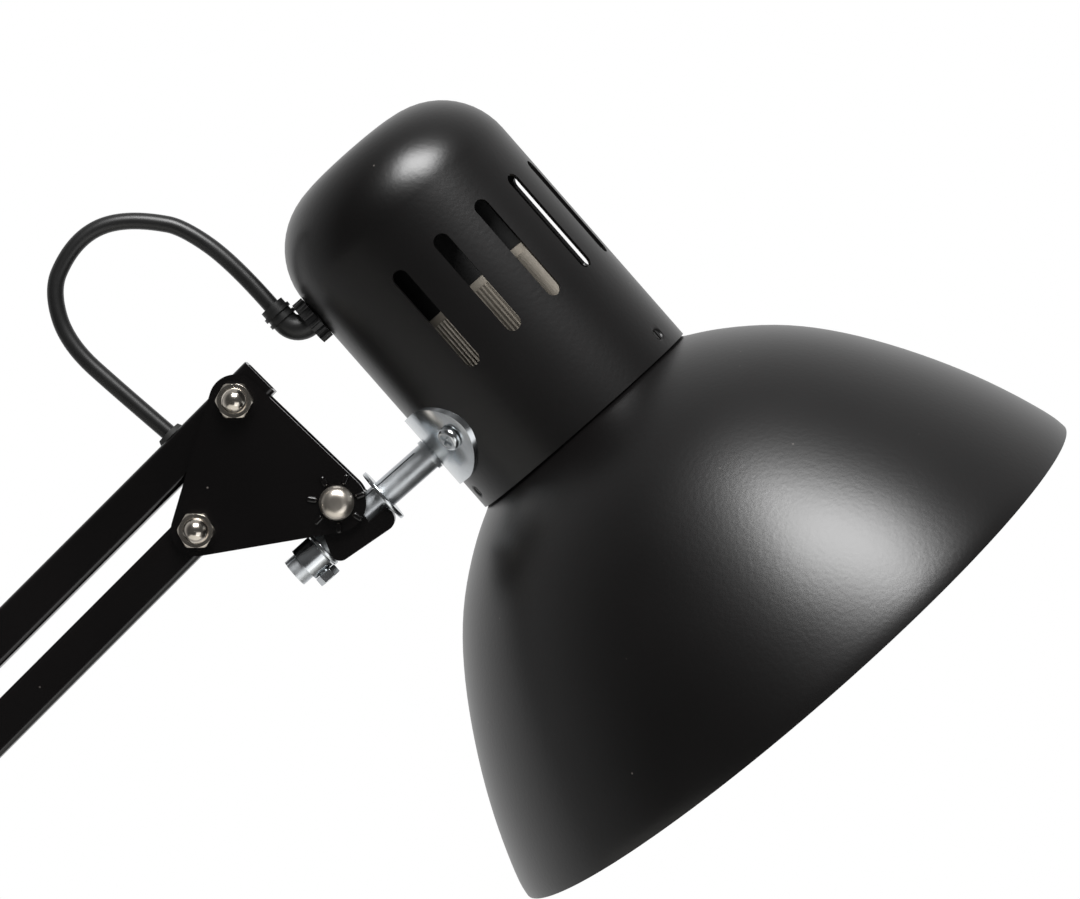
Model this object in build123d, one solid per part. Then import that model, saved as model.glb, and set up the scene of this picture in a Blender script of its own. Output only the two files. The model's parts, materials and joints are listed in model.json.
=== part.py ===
from build123d import *
import math
import os

# Swing arm desk lamp on a table clamp. Millimetres, +Z up.
# The origin is on the table top, on the post's axis. The arms lie in the XZ plane, the lamp head
# reaches towards +X, the near side is -Y and the table's edge runs along X at the clamp's spine.

# Arms: square tubes in two parallelograms
ARM_LENGTH = 330.0
BAR_SIDE = 10.0
BAR_WALL = 1.0
BAR_CORNER = 1.5
BAR_OVERRUN = 8.0
LOWER_ARM_ANGLE = 112.0
UPPER_ARM_ANGLE = 45.0
LOWER_LINK = 20.0
LOWER_LINK_ANGLE = 16.0
UPPER_LINK = 31.9
UPPER_LINK_ANGLE = 73.5
PLATE_INSIDE = 5.3
PLATE_SHEET = 1.5
PIVOT_BOLT_R = 2.5
RUNNING_FIT = 0.05
OPEN_PIVOT_FIT = 0.2
BOLT_FIT = 0.02
ACORN_ACROSS = 8.0
ACORN_HEX_HEIGHT = 3.4
ACORN_DOME_R = 3.1

# Lamp head
LAMP_ANGLE = 48.7
TILT_OUT = 57.0
TILT_UP = 24.5
SHEET = 0.8
SHADE_PROFILE = [(30.7, 0.0), (39.5, 4.8), (49.8, 12.4), (58.5, 21.7), (66.8, 33.5), (74.5, 47.0),
                 (80.2, 59.3), (84.4, 71.0), (85.2, 75.7)]
NECK_R = 30.4
NECK_HEIGHT = 9.0
NECK_HOLE_R = 21.5
CAP_R = 31.4
CAP_LENGTH = 84.5
CAP_CORNER = 19.0
CAP_SEAM = 0.35
SLOT_COUNT = 10
SLOT_MIDDLE = 175.5
SLOT_STEP = 23.4
SLOT_LENGTH = 28.3
SLOT_WIDTH = 4.0
SLOT_HEIGHT = 41.15
RIM_SCREW_ANGLES = (16.0, 146.0, 266.0)
RIM_SCREW_HEIGHT = 4.6
RIM_SCREW_R = 1.2
RIM_SCREW_LENGTH = 2.6
RIM_SCREW_SINK = 0.4
SADDLE_HEIGHT = 18.5
SADDLE_WIDTH = 20.0
SADDLE_SPREAD = 46.0
SADDLE_SHEET = 0.9
SADDLE_SCREW_ANGLE = 36.0
SADDLE_SCREW_R = 1.5
ROD_R = 3.5
ROD_BORE_R = 2.9
ROD_FLANGE = 0.5
ROD_END = 76.1
GLAND_HEIGHT = 61.0
GLAND_R = 5.2
GLAND_STEM_R = 3.2
SCREW_FIT = 0.03
CUT_DEPTH = 8.0
BOOT_OUT = 38.0
BOOT_TOP = 70.0
SOCKET_R = 19.6
SOCKET_TOP = 42.0
SOCKET_BOTTOM = -12.0
SOCKET_RIBS = 120
SOCKET_RIB_DEPTH = 0.4
SOCKET_CAP_R = 18.9
SOCKET_CAP_TOP = 66.0
SOCKET_CAP_WALL = 1.6
SOCKET_CAP_CORNER = 3.0
SHELL_BORE_R = 13.3
SHELL_SHEET = 0.5
SHELL_DEPTH = 24.0

# Knuckle
KNUCKLE_HALF = 4.9
TILT_BOLT_R = 2.0
WASHER_R = 4.9
HEAD_WASHER_R = 7.0
COLLAR_R = 4.4

# Base fork and clamp
BASE_REAR = Vector(-9.6, 82.5)
FORK_SHEET = 2.0
POST_R = 6.0
BOSS_R = 11.0
BOSS_TOP = 46.0
JAW_HALF = 20.0
JAW_FRONT = -30.0
JAW_SHEET = 6.0
SPINE_FRONT = 20.0
SPINE_SHEET = 6.0
LOWER_JAW_TOP = -55.0
LOWER_JAW_SHEET = 7.0
CLAMP_SCREW_R = 5.0
CLAMP_SCREW_Y = -6.0
CLAMP_SCREW_END = -112.0
PAD_TOP = -25.0
PAD_R = 13.0
PAD_SHEET = 4.0

# Springs
SPRING_WIRE_R = 0.6
SPRING_R = 3.6
SPRING_PITCH = 3.2
SPRING_TURNS = 24
SPRING_BLEND = 5.0
SPRING_Y = 12.5
SPRING_PIN_R = 2.9
SPRING_AT = 120.0

# Cord
CORD_R = 2.0
GROMMET_R = 3.6
GROMMET_PROUD = 1.2
COIL_CENTRE = Vector(-165.0, -45.0)
COIL_R = 27.0
COIL_STEP = 4.6
COIL_LOW = 2.9
COIL_TURNS = 4.25
COIL_DOWN_TURNS = 2.0
COIL_CLIMB = 0.5
COIL_START = 180.0
TIE_SHEET = 0.6
SWITCH_NEAR = -116.0
SWITCH_LENGTH = 56.0
SWITCH_WIDTH = 22.0
SWITCH_SPLIT = 7.0
SWITCH_TOP = 15.0
SWITCH_CORD_Z = 7.0
ROCKER_TILT = 7.0
TRUNNION_R = 1.2
PLUG_START = -138.0
CORD_GAP = 0.15


def polar(length, angle):
    """A step of a length in a direction, in the arm plane."""
    return Vector(length * math.cos(math.radians(angle)), length * math.sin(math.radians(angle)))


LOWER_WAY = polar(1, LOWER_ARM_ANGLE)
UPPER_WAY = polar(1, UPPER_ARM_ANGLE)
BASE_FRONT = BASE_REAR + polar(LOWER_LINK, LOWER_LINK_ANGLE)
ELBOW_REAR = BASE_REAR + LOWER_WAY * ARM_LENGTH
ELBOW_FRONT = BASE_FRONT + LOWER_WAY * ARM_LENGTH
ELBOW_LOW = ELBOW_FRONT + Vector(-4, 26)
ELBOW_TOP = ELBOW_LOW + polar(UPPER_LINK, UPPER_LINK_ANGLE)
HEAD_LOW = ELBOW_LOW + UPPER_WAY * ARM_LENGTH
HEAD_TOP = ELBOW_TOP + UPPER_WAY * ARM_LENGTH
TILT = HEAD_LOW + Vector(33.0, 6.4)
FORK_HOOK = Vector(28.0, 72.0)
ELBOW_HOOK = ELBOW_TOP + Vector(-14.0, 20.0)
LOWER_BAR_HOOK = BASE_FRONT + LOWER_WAY * SPRING_AT
UPPER_BAR_HOOK = ELBOW_LOW + UPPER_WAY * SPRING_AT

# The head's own frame: Z up the lamp's axis from the cap's rim, X towards the saddle bracket
HEAD_X = polar(1, 180 + 90 - LAMP_ANGLE)
HEAD_Z = polar(1, 180 - LAMP_ANGLE)
HEAD_ORIGIN = TILT - HEAD_X * TILT_OUT - HEAD_Z * TILT_UP
HEAD = Plane(origin=(HEAD_ORIGIN.X, 0, HEAD_ORIGIN.Y), x_dir=(HEAD_X.X, 0, HEAD_X.Y),
             z_dir=(HEAD_Z.X, 0, HEAD_Z.Y))

parts = {}


def arm_plane(y):
    """Sketch plane across the arms at a depth, with X to the right and Z up, facing the near side."""
    return Plane(origin=(0, y, 0), x_dir=(1, 0, 0), z_dir=(0, -1, 0))


def cross_pin(spot, radius, y_low, y_high):
    """A round pin across the arms."""
    return extrude(arm_plane(y_high) * Pos(spot.X, spot.Y) * Circle(radius), y_high - y_low)


def hull_plate(spots, y_low, y_high):
    """A flat plate whose outline wraps round circles, given as (point, radius)."""
    circles = [Pos(spot.X, spot.Y) * Circle(radius) for spot, radius in spots]
    outline = make_hull([edge for circle in circles for edge in circle.edges()])
    return extrude(arm_plane(y_high) * outline, y_high - y_low)


def turned(points):
    """A solid turned about Z from a closed outline of (radius, height)."""
    return revolve(Plane.XZ * make_face(Polyline(*points, close=True)), Axis.Z)


def ring(outer, inner, low, high):
    return turned([(inner, low), (outer, low), (outer, high), (inner, high)])


def upright(radius, height):
    """A round post that stands on its base."""
    return Cylinder(radius, height, align=(Align.CENTER, Align.CENTER, Align.MIN))


def hung(radius, depth):
    """A round post that hangs down from its top."""
    return Cylinder(radius, depth, align=(Align.CENTER, Align.CENTER, Align.MAX))


def around(angle, height, distance):
    """Plane that faces outwards from the lamp's axis, with its X up the axis."""
    way = Vector(math.cos(math.radians(angle)), math.sin(math.radians(angle)), 0)
    return Plane(origin=way * distance + Vector(0, 0, height), x_dir=(0, 0, 1), z_dir=way)


def joined(shapes):
    """One solid from shapes that overlap."""
    return shapes[0].fuse(*shapes[1:]) if len(shapes) > 1 else shapes[0]


# Square bars with their pivot holes


def bar(start, way, holes, grommets=(), side=None):
    """A square tube from one pivot to the other, with cross holes and grommet holes in one face."""
    first = start - way * BAR_OVERRUN
    frame = Plane(origin=(first.X, 0, first.Y), x_dir=(0, 1, 0), z_dir=(way.X, 0, way.Y))
    bore = BAR_SIDE - 2 * BAR_WALL
    section = RectangleRounded(BAR_SIDE, BAR_SIDE, BAR_CORNER)
    section -= RectangleRounded(bore, bore, BAR_CORNER - BAR_WALL)
    tube = extrude(frame * section, ARM_LENGTH + 2 * BAR_OVERRUN)
    for spot, radius in holes:
        tube -= cross_pin(spot, radius, -BAR_SIDE, BAR_SIDE)
    for distance in grommets:
        tube -= grommet_plug(start + way * distance, side, GROMMET_R - 1.0, BAR_SIDE / 2 + 1)
    return tube


def grommet_plug(spot, side, radius, height):
    """A round plug that stands on a bar's centre line and points out of one face."""
    frame = Plane(origin=(spot.X, 0, spot.Y), z_dir=(side.X, 0, side.Y))
    return extrude(frame * Circle(radius), height)


def grommet(spot, side):
    """A rubber bush in a bar's face: collar outside, stem through the wall."""
    frame = Plane(origin=(spot.X, 0, spot.Y), z_dir=(side.X, 0, side.Y))
    half = BAR_SIDE / 2
    stem_r = GROMMET_R - 1.05
    bore = CORD_R + RUNNING_FIT
    outline = [(bore, half - 1.6), (stem_r, half - 1.6), (stem_r, half + 0.02), (GROMMET_R, half + 0.02),
               (GROMMET_R - 0.5, half + GROMMET_PROUD), (bore, half + GROMMET_PROUD)]
    return frame * turned(outline)


UPPER_SIDE = polar(1, UPPER_ARM_ANGLE + 90)
LOWER_SIDE = polar(1, LOWER_ARM_ANGLE + 90)
UPPER_GROMMETS = (22.0, ARM_LENGTH - 17.0)
LOWER_GROMMETS = (40.0, ARM_LENGTH - 28.0)
TIGHT = PIVOT_BOLT_R + RUNNING_FIT
LOOSE = PIVOT_BOLT_R + OPEN_PIVOT_FIT
HOOK_HOLE = 2.0 + RUNNING_FIT

parts["upper_bar_top"] = bar(ELBOW_TOP, UPPER_WAY, [(ELBOW_TOP, TIGHT), (HEAD_TOP, TIGHT)],
                             UPPER_GROMMETS, UPPER_SIDE)
parts["upper_bar_low"] = bar(ELBOW_LOW, UPPER_WAY,
                             [(ELBOW_LOW, TIGHT), (HEAD_LOW, LOOSE), (UPPER_BAR_HOOK, HOOK_HOLE)])
parts["lower_bar_rear"] = bar(BASE_REAR, LOWER_WAY, [(BASE_REAR, TIGHT), (ELBOW_REAR, TIGHT)],
                              LOWER_GROMMETS, LOWER_SIDE)
parts["lower_bar_front"] = bar(BASE_FRONT, LOWER_WAY,
                               [(BASE_FRONT, TIGHT), (ELBOW_FRONT, LOOSE), (LOWER_BAR_HOOK, HOOK_HOLE)])
parts["upper_bar_grommets"] = Compound(
    children=[grommet(ELBOW_TOP + UPPER_WAY * at, UPPER_SIDE) for at in UPPER_GROMMETS])
parts["lower_bar_grommets"] = Compound(
    children=[grommet(BASE_REAR + LOWER_WAY * at, LOWER_SIDE) for at in LOWER_GROMMETS])

# Plates, pivot bolts and acorn nuts


def pivot_bolt(spot, outside, radius=PIVOT_BOLT_R):
    """A bolt across a pair of plates: a low round head on the far side, its end in the near nut."""
    shaft = cross_pin(spot, radius, -outside - ACORN_HEX_HEIGHT, outside + 0.5)
    head = cross_pin(spot, radius + 1.6, outside + 0.02, outside + 2.6)
    head = fillet(head.edges().group_by(Axis.Y)[-1], 1.2)
    return shaft + head


def acorn_nut(spot, outside):
    """A hexagon nut with a domed cap, on the near side of a plate."""
    frame = Plane(origin=(spot.X, -outside - 0.02, spot.Y), x_dir=(1, 0, 0), z_dir=(0, -1, 0))
    hexagon = extrude(RegularPolygon(ACORN_ACROSS / 2, 6, major_radius=False), ACORN_HEX_HEIGHT)
    corners = upright(ACORN_ACROSS * 0.56, ACORN_HEX_HEIGHT)
    corners = chamfer(corners.edges().group_by(Axis.Z)[-1], 0.5)
    dome = Pos(0, 0, ACORN_HEX_HEIGHT) * Sphere(ACORN_DOME_R)
    dome &= Pos(0, 0, ACORN_HEX_HEIGHT) * upright(ACORN_ACROSS, ACORN_ACROSS)
    thread = upright(PIVOT_BOLT_R + BOLT_FIT, ACORN_HEX_HEIGHT + 0.1)
    return frame * ((hexagon & corners) + dome - thread)


def plate_pair(name, spots, sheet, bores):
    """The near and far plate of a joint, with their holes."""
    for side, low in (("near", -PLATE_INSIDE - sheet), ("far", PLATE_INSIDE)):
        plate = hull_plate(spots, low, low + sheet)
        for spot, radius in bores:
            plate -= cross_pin(spot, radius, low - 1, low + sheet + 1)
        parts[f"{name}_{side}"] = plate


PLATE_OUTSIDE = PLATE_INSIDE + PLATE_SHEET
BOLT_HOLE = PIVOT_BOLT_R + BOLT_FIT
head_pivots = [HEAD_LOW, HEAD_TOP]
elbow_pivots = [ELBOW_REAR, ELBOW_FRONT, ELBOW_LOW, ELBOW_TOP]
base_pivots = [BASE_REAR, BASE_FRONT]

plate_pair("head_plate", [(HEAD_LOW, 6.2), (HEAD_TOP, 6.2), (TILT, 7.0)], PLATE_SHEET,
           [(HEAD_LOW, BOLT_HOLE), (HEAD_TOP, BOLT_HOLE), (TILT, TILT_BOLT_R + BOLT_FIT)])
plate_pair("elbow_plate", [(spot, 7.0) for spot in elbow_pivots] + [(ELBOW_HOOK, 5.0)], PLATE_SHEET,
           [(spot, BOLT_HOLE) for spot in elbow_pivots] + [(ELBOW_HOOK, HOOK_HOLE)])

# Pressed ribs that ring the tilt bolt on both head plates
RIB_COUNT = 7
RIB_TURN = 18.0
RIB_DISTANCE = 5.9
RIB_LENGTH = 2.8
RIB_WIDTH = 1.5
RIB_PROUD = 0.65
RIB_ROUND = 0.6
for side, outside in (("near", -1), ("far", 1)):
    ribs = []
    for index in range(RIB_COUNT):
        angle = 360 / RIB_COUNT * index + RIB_TURN
        spot = TILT + polar(RIB_DISTANCE, angle)
        way = polar(1, angle)
        frame = Plane(origin=(spot.X, outside * (PLATE_OUTSIDE - RIB_PROUD), spot.Y),
                      x_dir=(way.X, 0, way.Y), z_dir=(0, outside, 0))
        rib = extrude(SlotOverall(RIB_LENGTH, RIB_WIDTH), 2 * RIB_PROUD)
        ribs.append(frame * fillet(rib.edges().group_by(Axis.Z)[-1], RIB_ROUND))
    parts[f"head_plate_{side}"] = parts[f"head_plate_{side}"].fuse(*ribs)

parts["head_pivot_bolts"] = Compound(children=[pivot_bolt(spot, PLATE_OUTSIDE) for spot in head_pivots])
parts["head_acorn_nuts"] = Compound(children=[acorn_nut(spot, PLATE_OUTSIDE) for spot in head_pivots])
parts["elbow_pivot_bolts"] = Compound(children=[pivot_bolt(spot, PLATE_OUTSIDE) for spot in elbow_pivots])
parts["elbow_acorn_nuts"] = Compound(children=[acorn_nut(spot, PLATE_OUTSIDE) for spot in elbow_pivots])

# Tilt bolt with a domed head on the near side and a wing nut on the far side
TILT_HEAD_R = 4.15
TILT_HEAD_HEIGHT = 3.6
TILT_HEAD_ROUND = 2.9
tilt_seat = -PLATE_OUTSIDE - 0.45
tilt_head = cross_pin(TILT, TILT_HEAD_R, tilt_seat - TILT_HEAD_HEIGHT, tilt_seat)
tilt_head = fillet(tilt_head.edges().group_by(Axis.Y)[0], TILT_HEAD_ROUND)
parts["tilt_bolt"] = tilt_head + cross_pin(TILT, TILT_BOLT_R, tilt_seat - 1.0, PLATE_OUTSIDE + 7.5)
WING_HUB_R = 4.2
WING_START = PLATE_OUTSIDE + 0.45
WING_HUB_HEIGHT = 6.0
WING_REACH = 11.0
WING_ANGLE = 155.0
wing_hub = cross_pin(TILT, WING_HUB_R, WING_START, WING_START + WING_HUB_HEIGHT)
wings = [hull_plate([(TILT + polar(4.0, turn), 1.0), (TILT + polar(WING_REACH, turn), 1.0)],
                    WING_START + 2.5, WING_START + 11.0) for turn in (WING_ANGLE, WING_ANGLE + 180)]
parts["tilt_wing_nut"] = wing_hub.fuse(*wings) - cross_pin(TILT, TILT_BOLT_R + BOLT_FIT, 0, 30)

# Lamp head: shade, cap and what they hold


def shade():
    """Bell of sheet metal with a neck that goes up inside the cap."""
    outer = Spline(*[(radius, -depth) for radius, depth in SHADE_PROFILE])
    stations = [index / (len(SHADE_PROFILE) - 1) for index in range(len(SHADE_PROFILE))]
    inside = []
    for station in stations:
        way = outer % station
        inside.append(outer @ station + Vector(way.Y, -way.X) * SHEET)
    inner = Spline(*inside)
    face = make_face([outer, Line(outer @ 1, inner @ 1), inner, Line(inner @ 0, outer @ 0)])
    bell = revolve(Plane.XZ * face, Axis.Z)
    neck = ring(NECK_R, NECK_R - SHEET, -1.0, NECK_HEIGHT)
    flange = ring(NECK_R, NECK_HOLE_R, NECK_HEIGHT - SHEET, NECK_HEIGHT)
    return joined([bell, neck, flange])


def cap():
    """Cylinder with a rounded top, slotted on the side away from the bracket."""
    centre = Vector(CAP_R - CAP_CORNER, CAP_LENGTH - CAP_CORNER)
    edges = []
    for radius in (CAP_CORNER, CAP_CORNER - SHEET):
        edges.append(Line((centre.X + radius, CAP_SEAM), (centre.X + radius, centre.Y)))
        edges.append(CenterArc((centre.X, centre.Y), radius, 0, 90))
        edges.append(Line((centre.X, centre.Y + radius), (0, centre.Y + radius)))
    edges.append(Line((0, CAP_LENGTH - SHEET), (0, CAP_LENGTH)))
    edges.append(Line((CAP_R - SHEET, CAP_SEAM), (CAP_R, CAP_SEAM)))
    body = revolve(Plane.XZ * make_face(edges), Axis.Z)
    cuts = []
    for index in range(SLOT_COUNT):
        angle = SLOT_MIDDLE + SLOT_STEP * (index - (SLOT_COUNT - 1) / 2)
        slot = SlotOverall(SLOT_LENGTH, SLOT_WIDTH)
        cuts.append(extrude(around(angle, SLOT_HEIGHT, CAP_R - CUT_DEPTH / 2) * slot, CUT_DEPTH))
    for angle in RIM_SCREW_ANGLES:
        cuts.append(cap_hole(angle, RIM_SCREW_HEIGHT, RIM_SCREW_R + SCREW_FIT))
    for angle in (-SADDLE_SCREW_ANGLE, SADDLE_SCREW_ANGLE):
        cuts.append(cap_hole(angle, SADDLE_HEIGHT, SADDLE_SCREW_R + SCREW_FIT))
    cuts.append(cap_hole(0, GLAND_HEIGHT, GLAND_STEM_R + SCREW_FIT))
    return body.cut(*cuts)


def cap_hole(angle, height, radius):
    """What a drill through the cap's wall takes away."""
    return extrude(around(angle, height, CAP_R - CUT_DEPTH / 2) * Circle(radius), CUT_DEPTH)


def pan_screw(angle, height, seat, head_r, head_height, shank_r, shank_length):
    """A pan-head screw with a cross recess, pointing at the lamp's axis."""
    head = upright(head_r, head_height)
    head = fillet(head.edges().group_by(Axis.Z)[-1], head_height * 0.6)
    shank = Pos(0, 0, -shank_length) * upright(shank_r, shank_length + 0.1)
    recess = [Pos(0, 0, head_height) * Rot(0, 0, turn) * Box(head_r * 1.1, head_r * 0.24, head_height)
              for turn in (20, 110)]
    return around(angle, height, seat) * (head + shank).cut(*recess)


def grub_screw(angle, height, top):
    """A headless screw with a slot, sunk in the cap's rim."""
    frame = around(angle, height, top - RIM_SCREW_LENGTH)
    slot = Pos(0, 0, RIM_SCREW_LENGTH) * Box(2 * CAP_R, 0.5, 1.2)
    return frame * (upright(RIM_SCREW_R, RIM_SCREW_LENGTH) - slot)


shade_solid = shade()
for angle in RIM_SCREW_ANGLES:
    shade_solid -= cap_hole(angle, RIM_SCREW_HEIGHT, RIM_SCREW_R + SCREW_FIT)
parts["shade"] = HEAD * shade_solid
parts["cap"] = HEAD * cap()
parts["rim_screws"] = Compound(children=[
    HEAD * grub_screw(angle, RIM_SCREW_HEIGHT, CAP_R - RIM_SCREW_SINK) for angle in RIM_SCREW_ANGLES])

# Saddle bracket wrapped on the cap, with its screws
saddle_low = CAP_R + 0.03
saddle_high = saddle_low + SADDLE_SHEET
saddle_span = 2 * saddle_high * math.sin(math.radians(SADDLE_SPREAD))
saddle_outline = SlotOverall(saddle_span, SADDLE_WIDTH, rotation=90)
saddle_strip = extrude(around(0, SADDLE_HEIGHT, 0) * saddle_outline, 40)
saddle = ring(saddle_high, saddle_low, SADDLE_HEIGHT - 15, SADDLE_HEIGHT + 15) & saddle_strip
saddle -= cap_hole(0, SADDLE_HEIGHT, ROD_R + BOLT_FIT)
for angle in (-SADDLE_SCREW_ANGLE, SADDLE_SCREW_ANGLE):
    saddle -= cap_hole(angle, SADDLE_HEIGHT, SADDLE_SCREW_R + SCREW_FIT)
parts["saddle_bracket"] = HEAD * saddle
parts["saddle_screws"] = Compound(children=[
    HEAD * pan_screw(angle, SADDLE_HEIGHT, saddle_high + 0.13, 3.0, 1.7, SADDLE_SCREW_R, 5.0)
    for angle in (-SADDLE_SCREW_ANGLE, SADDLE_SCREW_ANGLE)])

# Rolled rod, with its seam, the collar on its end and the collar's screw
rod_frame = around(0, SADDLE_HEIGHT, 0)
ROD_START = CAP_R + 0.2
rod = extrude(rod_frame.offset(ROD_START) * Circle(ROD_R), ROD_END - ROD_START)
rod += extrude(rod_frame.offset(saddle_high + 0.2) * Circle(ROD_R + ROD_FLANGE), 1.0)
rod -= extrude(rod_frame.offset(ROD_START + 3) * Circle(ROD_BORE_R), ROD_END)
seam_place = Rot(0, 0, -40) * Pos(ROD_R, 0, (ROD_START + ROD_END) / 2 + 4)
rod -= rod_frame * seam_place * Box(ROD_R, 0.45, ROD_END - ROD_START)
parts["head_rod"] = HEAD * rod
COLLAR_START = 67.8
COLLAR_END = 73.0
COLLAR_SCREW_R = 1.5
collar_ring = Circle(COLLAR_R) - Circle(ROD_R + BOLT_FIT)
collar = extrude(rod_frame.offset(COLLAR_START) * collar_ring, COLLAR_END - COLLAR_START)
collar_middle = ((COLLAR_START + COLLAR_END) / 2, 0, SADDLE_HEIGHT)
screw_frame = Plane(origin=collar_middle, x_dir=(1, 0, 0), z_dir=(0, 0, -1))
collar -= extrude(screw_frame * Circle(COLLAR_SCREW_R + SCREW_FIT), CUT_DEPTH)
parts["rod_collar"] = HEAD * collar
collar_hexagon = RegularPolygon(2.5, 6, major_radius=False)
collar_screw = extrude(screw_frame.offset(ROD_R + RUNNING_FIT) * Circle(COLLAR_SCREW_R), 2.5)
collar_screw += extrude(screw_frame.offset(COLLAR_R + 0.1) * collar_hexagon, 2.2)
parts["collar_screw"] = HEAD * collar_screw

# Knuckle between the head plates: block, washers on the rod


def head_spot(out, up):
    """A point of the head's frame in the arm plane."""
    return HEAD_ORIGIN + HEAD_X * out + HEAD_Z * up


knuckle = hull_plate([(TILT, 5.8), (head_spot(51.5, 14.3), 2.8), (head_spot(64.0, 15.4), 2.4)],
                     -KNUCKLE_HALF, KNUCKLE_HALF)
ROD_WINDOW = (45.0, 54.2)
ROD_WINDOW_HIGH = 5.4
window_middle = (sum(ROD_WINDOW) / 2, KNUCKLE_HALF, SADDLE_HEIGHT + 0.4)
knuckle -= HEAD * Pos(*window_middle) * Box(ROD_WINDOW[1] - ROD_WINDOW[0], 2 * KNUCKLE_HALF, ROD_WINDOW_HIGH)
knuckle -= HEAD * extrude(rod_frame.offset(40) * Circle(ROD_R + RUNNING_FIT), 40)
knuckle -= cross_pin(TILT, TILT_BOLT_R + RUNNING_FIT, -10, 10)
parts["knuckle_block"] = knuckle
WASHERS = ((47.35, HEAD_WASHER_R), (66.45, WASHER_R))
washer_hole = Circle(ROD_R + RUNNING_FIT)
parts["knuckle_washers"] = Compound(children=[
    HEAD * extrude(rod_frame.offset(start) * (Circle(radius) - washer_hole), 1.0)
    for start, radius in WASHERS])

# Cord gland: knurled nut and a short elbow boot
gland_frame = around(0, GLAND_HEIGHT, 0)
nut = extrude(gland_frame.offset(CAP_R + 0.06) * Circle(GLAND_R), 2.9)
knurls = [gland_frame * Rot(0, 0, 360 / 14 * index) * Pos(GLAND_R, 0, CAP_R + 1.5) * Cylinder(0.6, 2.8)
          for index in range(14)]
stem = extrude(gland_frame.offset(CAP_R - 3) * Circle(GLAND_STEM_R), 4)
boot_path = FilletPolyline((CAP_R + 2, 0, GLAND_HEIGHT), (BOOT_OUT, 0, GLAND_HEIGHT),
                           (BOOT_OUT, 0, BOOT_TOP), radius=4.0)
boot = sweep(Plane(origin=boot_path @ 0, z_dir=boot_path % 0) * Circle(3.1), path=boot_path)
boot_rings = [Pos(BOOT_OUT, 0, GLAND_HEIGHT + 5.0 + 1.9 * index) * Cylinder(3.6, 0.9) for index in range(2)]
parts["cord_gland"] = HEAD * joined([nut, stem, boot] + boot_rings + knurls)

# Socket with its cap, screw shell, contact and the ring that clamps the shade's neck


def ribbed_sleeve(radius, depth, count, low, high):
    """A barrel with fine ribs along its length."""
    outline = []
    for index in range(2 * count):
        reach = radius - depth * (index % 2)
        turn = math.pi * index / count
        outline.append((reach * math.cos(turn), reach * math.sin(turn)))
    return extrude(Plane.XY.offset(low) * make_face(Polyline(*outline, close=True)), high - low)


socket = joined([ribbed_sleeve(SOCKET_R, SOCKET_RIB_DEPTH, SOCKET_RIBS, NECK_HEIGHT + 2, SOCKET_TOP - 2),
                 ring(SOCKET_R - 0.8, 0, SOCKET_BOTTOM, SOCKET_TOP),
                 ring(NECK_HOLE_R + 3, 0, NECK_HEIGHT + 0.05, NECK_HEIGHT + 2.2)])
SHELL_LOW = SOCKET_BOTTOM + 2
SHELL_TOP = SHELL_LOW + SHELL_DEPTH
SHELL_R = SHELL_BORE_R + SHELL_SHEET
CONTACT_FLOOR = SHELL_TOP + 2.0
CONTACT_R = 4.5
CONTACT_TIP_R = 2.5
CONTACT_TIP = CONTACT_FLOOR - 1.6
socket -= Pos(0, 0, SOCKET_BOTTOM - 1) * upright(SHELL_R + RUNNING_FIT, CONTACT_FLOOR - SOCKET_BOTTOM + 1)
parts["lamp_socket"] = HEAD * socket
parts["screw_shell"] = HEAD * ring(SHELL_R, SHELL_BORE_R, SHELL_LOW, SHELL_TOP)
contact_top = CONTACT_FLOOR - RUNNING_FIT
parts["centre_contact"] = HEAD * turned([
    (0, contact_top), (CONTACT_R, contact_top), (CONTACT_R, CONTACT_TIP + 1), (CONTACT_TIP_R, CONTACT_TIP),
    (0, CONTACT_TIP)])
socket_cap = upright(SOCKET_CAP_R, SOCKET_CAP_TOP - SOCKET_TOP - RUNNING_FIT)
socket_cap = fillet(socket_cap.edges().group_by(Axis.Z)[-1], SOCKET_CAP_CORNER)
socket_room = upright(SOCKET_CAP_R - SOCKET_CAP_WALL, SOCKET_CAP_TOP - SOCKET_TOP)
socket_cap -= Pos(0, 0, -SOCKET_CAP_WALL) * socket_room
socket_cap = Pos(0, 0, SOCKET_TOP + RUNNING_FIT) * socket_cap
socket_cap -= extrude(gland_frame * Circle(CORD_R + RUNNING_FIT), CAP_R)
parts["socket_cap"] = HEAD * socket_cap
FLANGE_LOW = NECK_HEIGHT - SHEET
RING_HEIGHT = 5.05
ring_top = FLANGE_LOW - RUNNING_FIT
parts["shade_ring"] = HEAD * ring(NECK_HOLE_R + 4.5, SOCKET_R - 0.75, ring_top - RING_HEIGHT, ring_top)

# Base fork, its post and the clamp
FORK_OUTSIDE = PLATE_INSIDE + FORK_SHEET
FORK_FLOOR = BOSS_TOP + 4.0
POST_LOW = 10.0
fork_spots = [(BASE_REAR, 8.0), (BASE_FRONT, 8.0), (FORK_HOOK, 5.0), (Vector(-11, FORK_FLOOR + 4), 4.0),
              (Vector(11, FORK_FLOOR + 4), 4.0)]
fork = joined([hull_plate(fork_spots, PLATE_INSIDE, FORK_OUTSIDE),
               hull_plate(fork_spots, -FORK_OUTSIDE, -PLATE_INSIDE),
               Pos(0, 0, FORK_FLOOR + 2) * Box(24, 2 * FORK_OUTSIDE, 4),
               Pos(0, 0, POST_LOW) * upright(POST_R, FORK_FLOOR - POST_LOW + 2),
               Pos(0, 0, BOSS_TOP + 1.1) * upright(9.0, 3.5)])
for spot in base_pivots:
    fork -= cross_pin(spot, BOLT_HOLE, -20, 20)
fork -= cross_pin(FORK_HOOK, HOOK_HOLE, -20, 20)
parts["base_fork"] = fork
parts["base_pivot_bolts"] = Compound(children=[pivot_bolt(spot, FORK_OUTSIDE) for spot in base_pivots])
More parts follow.
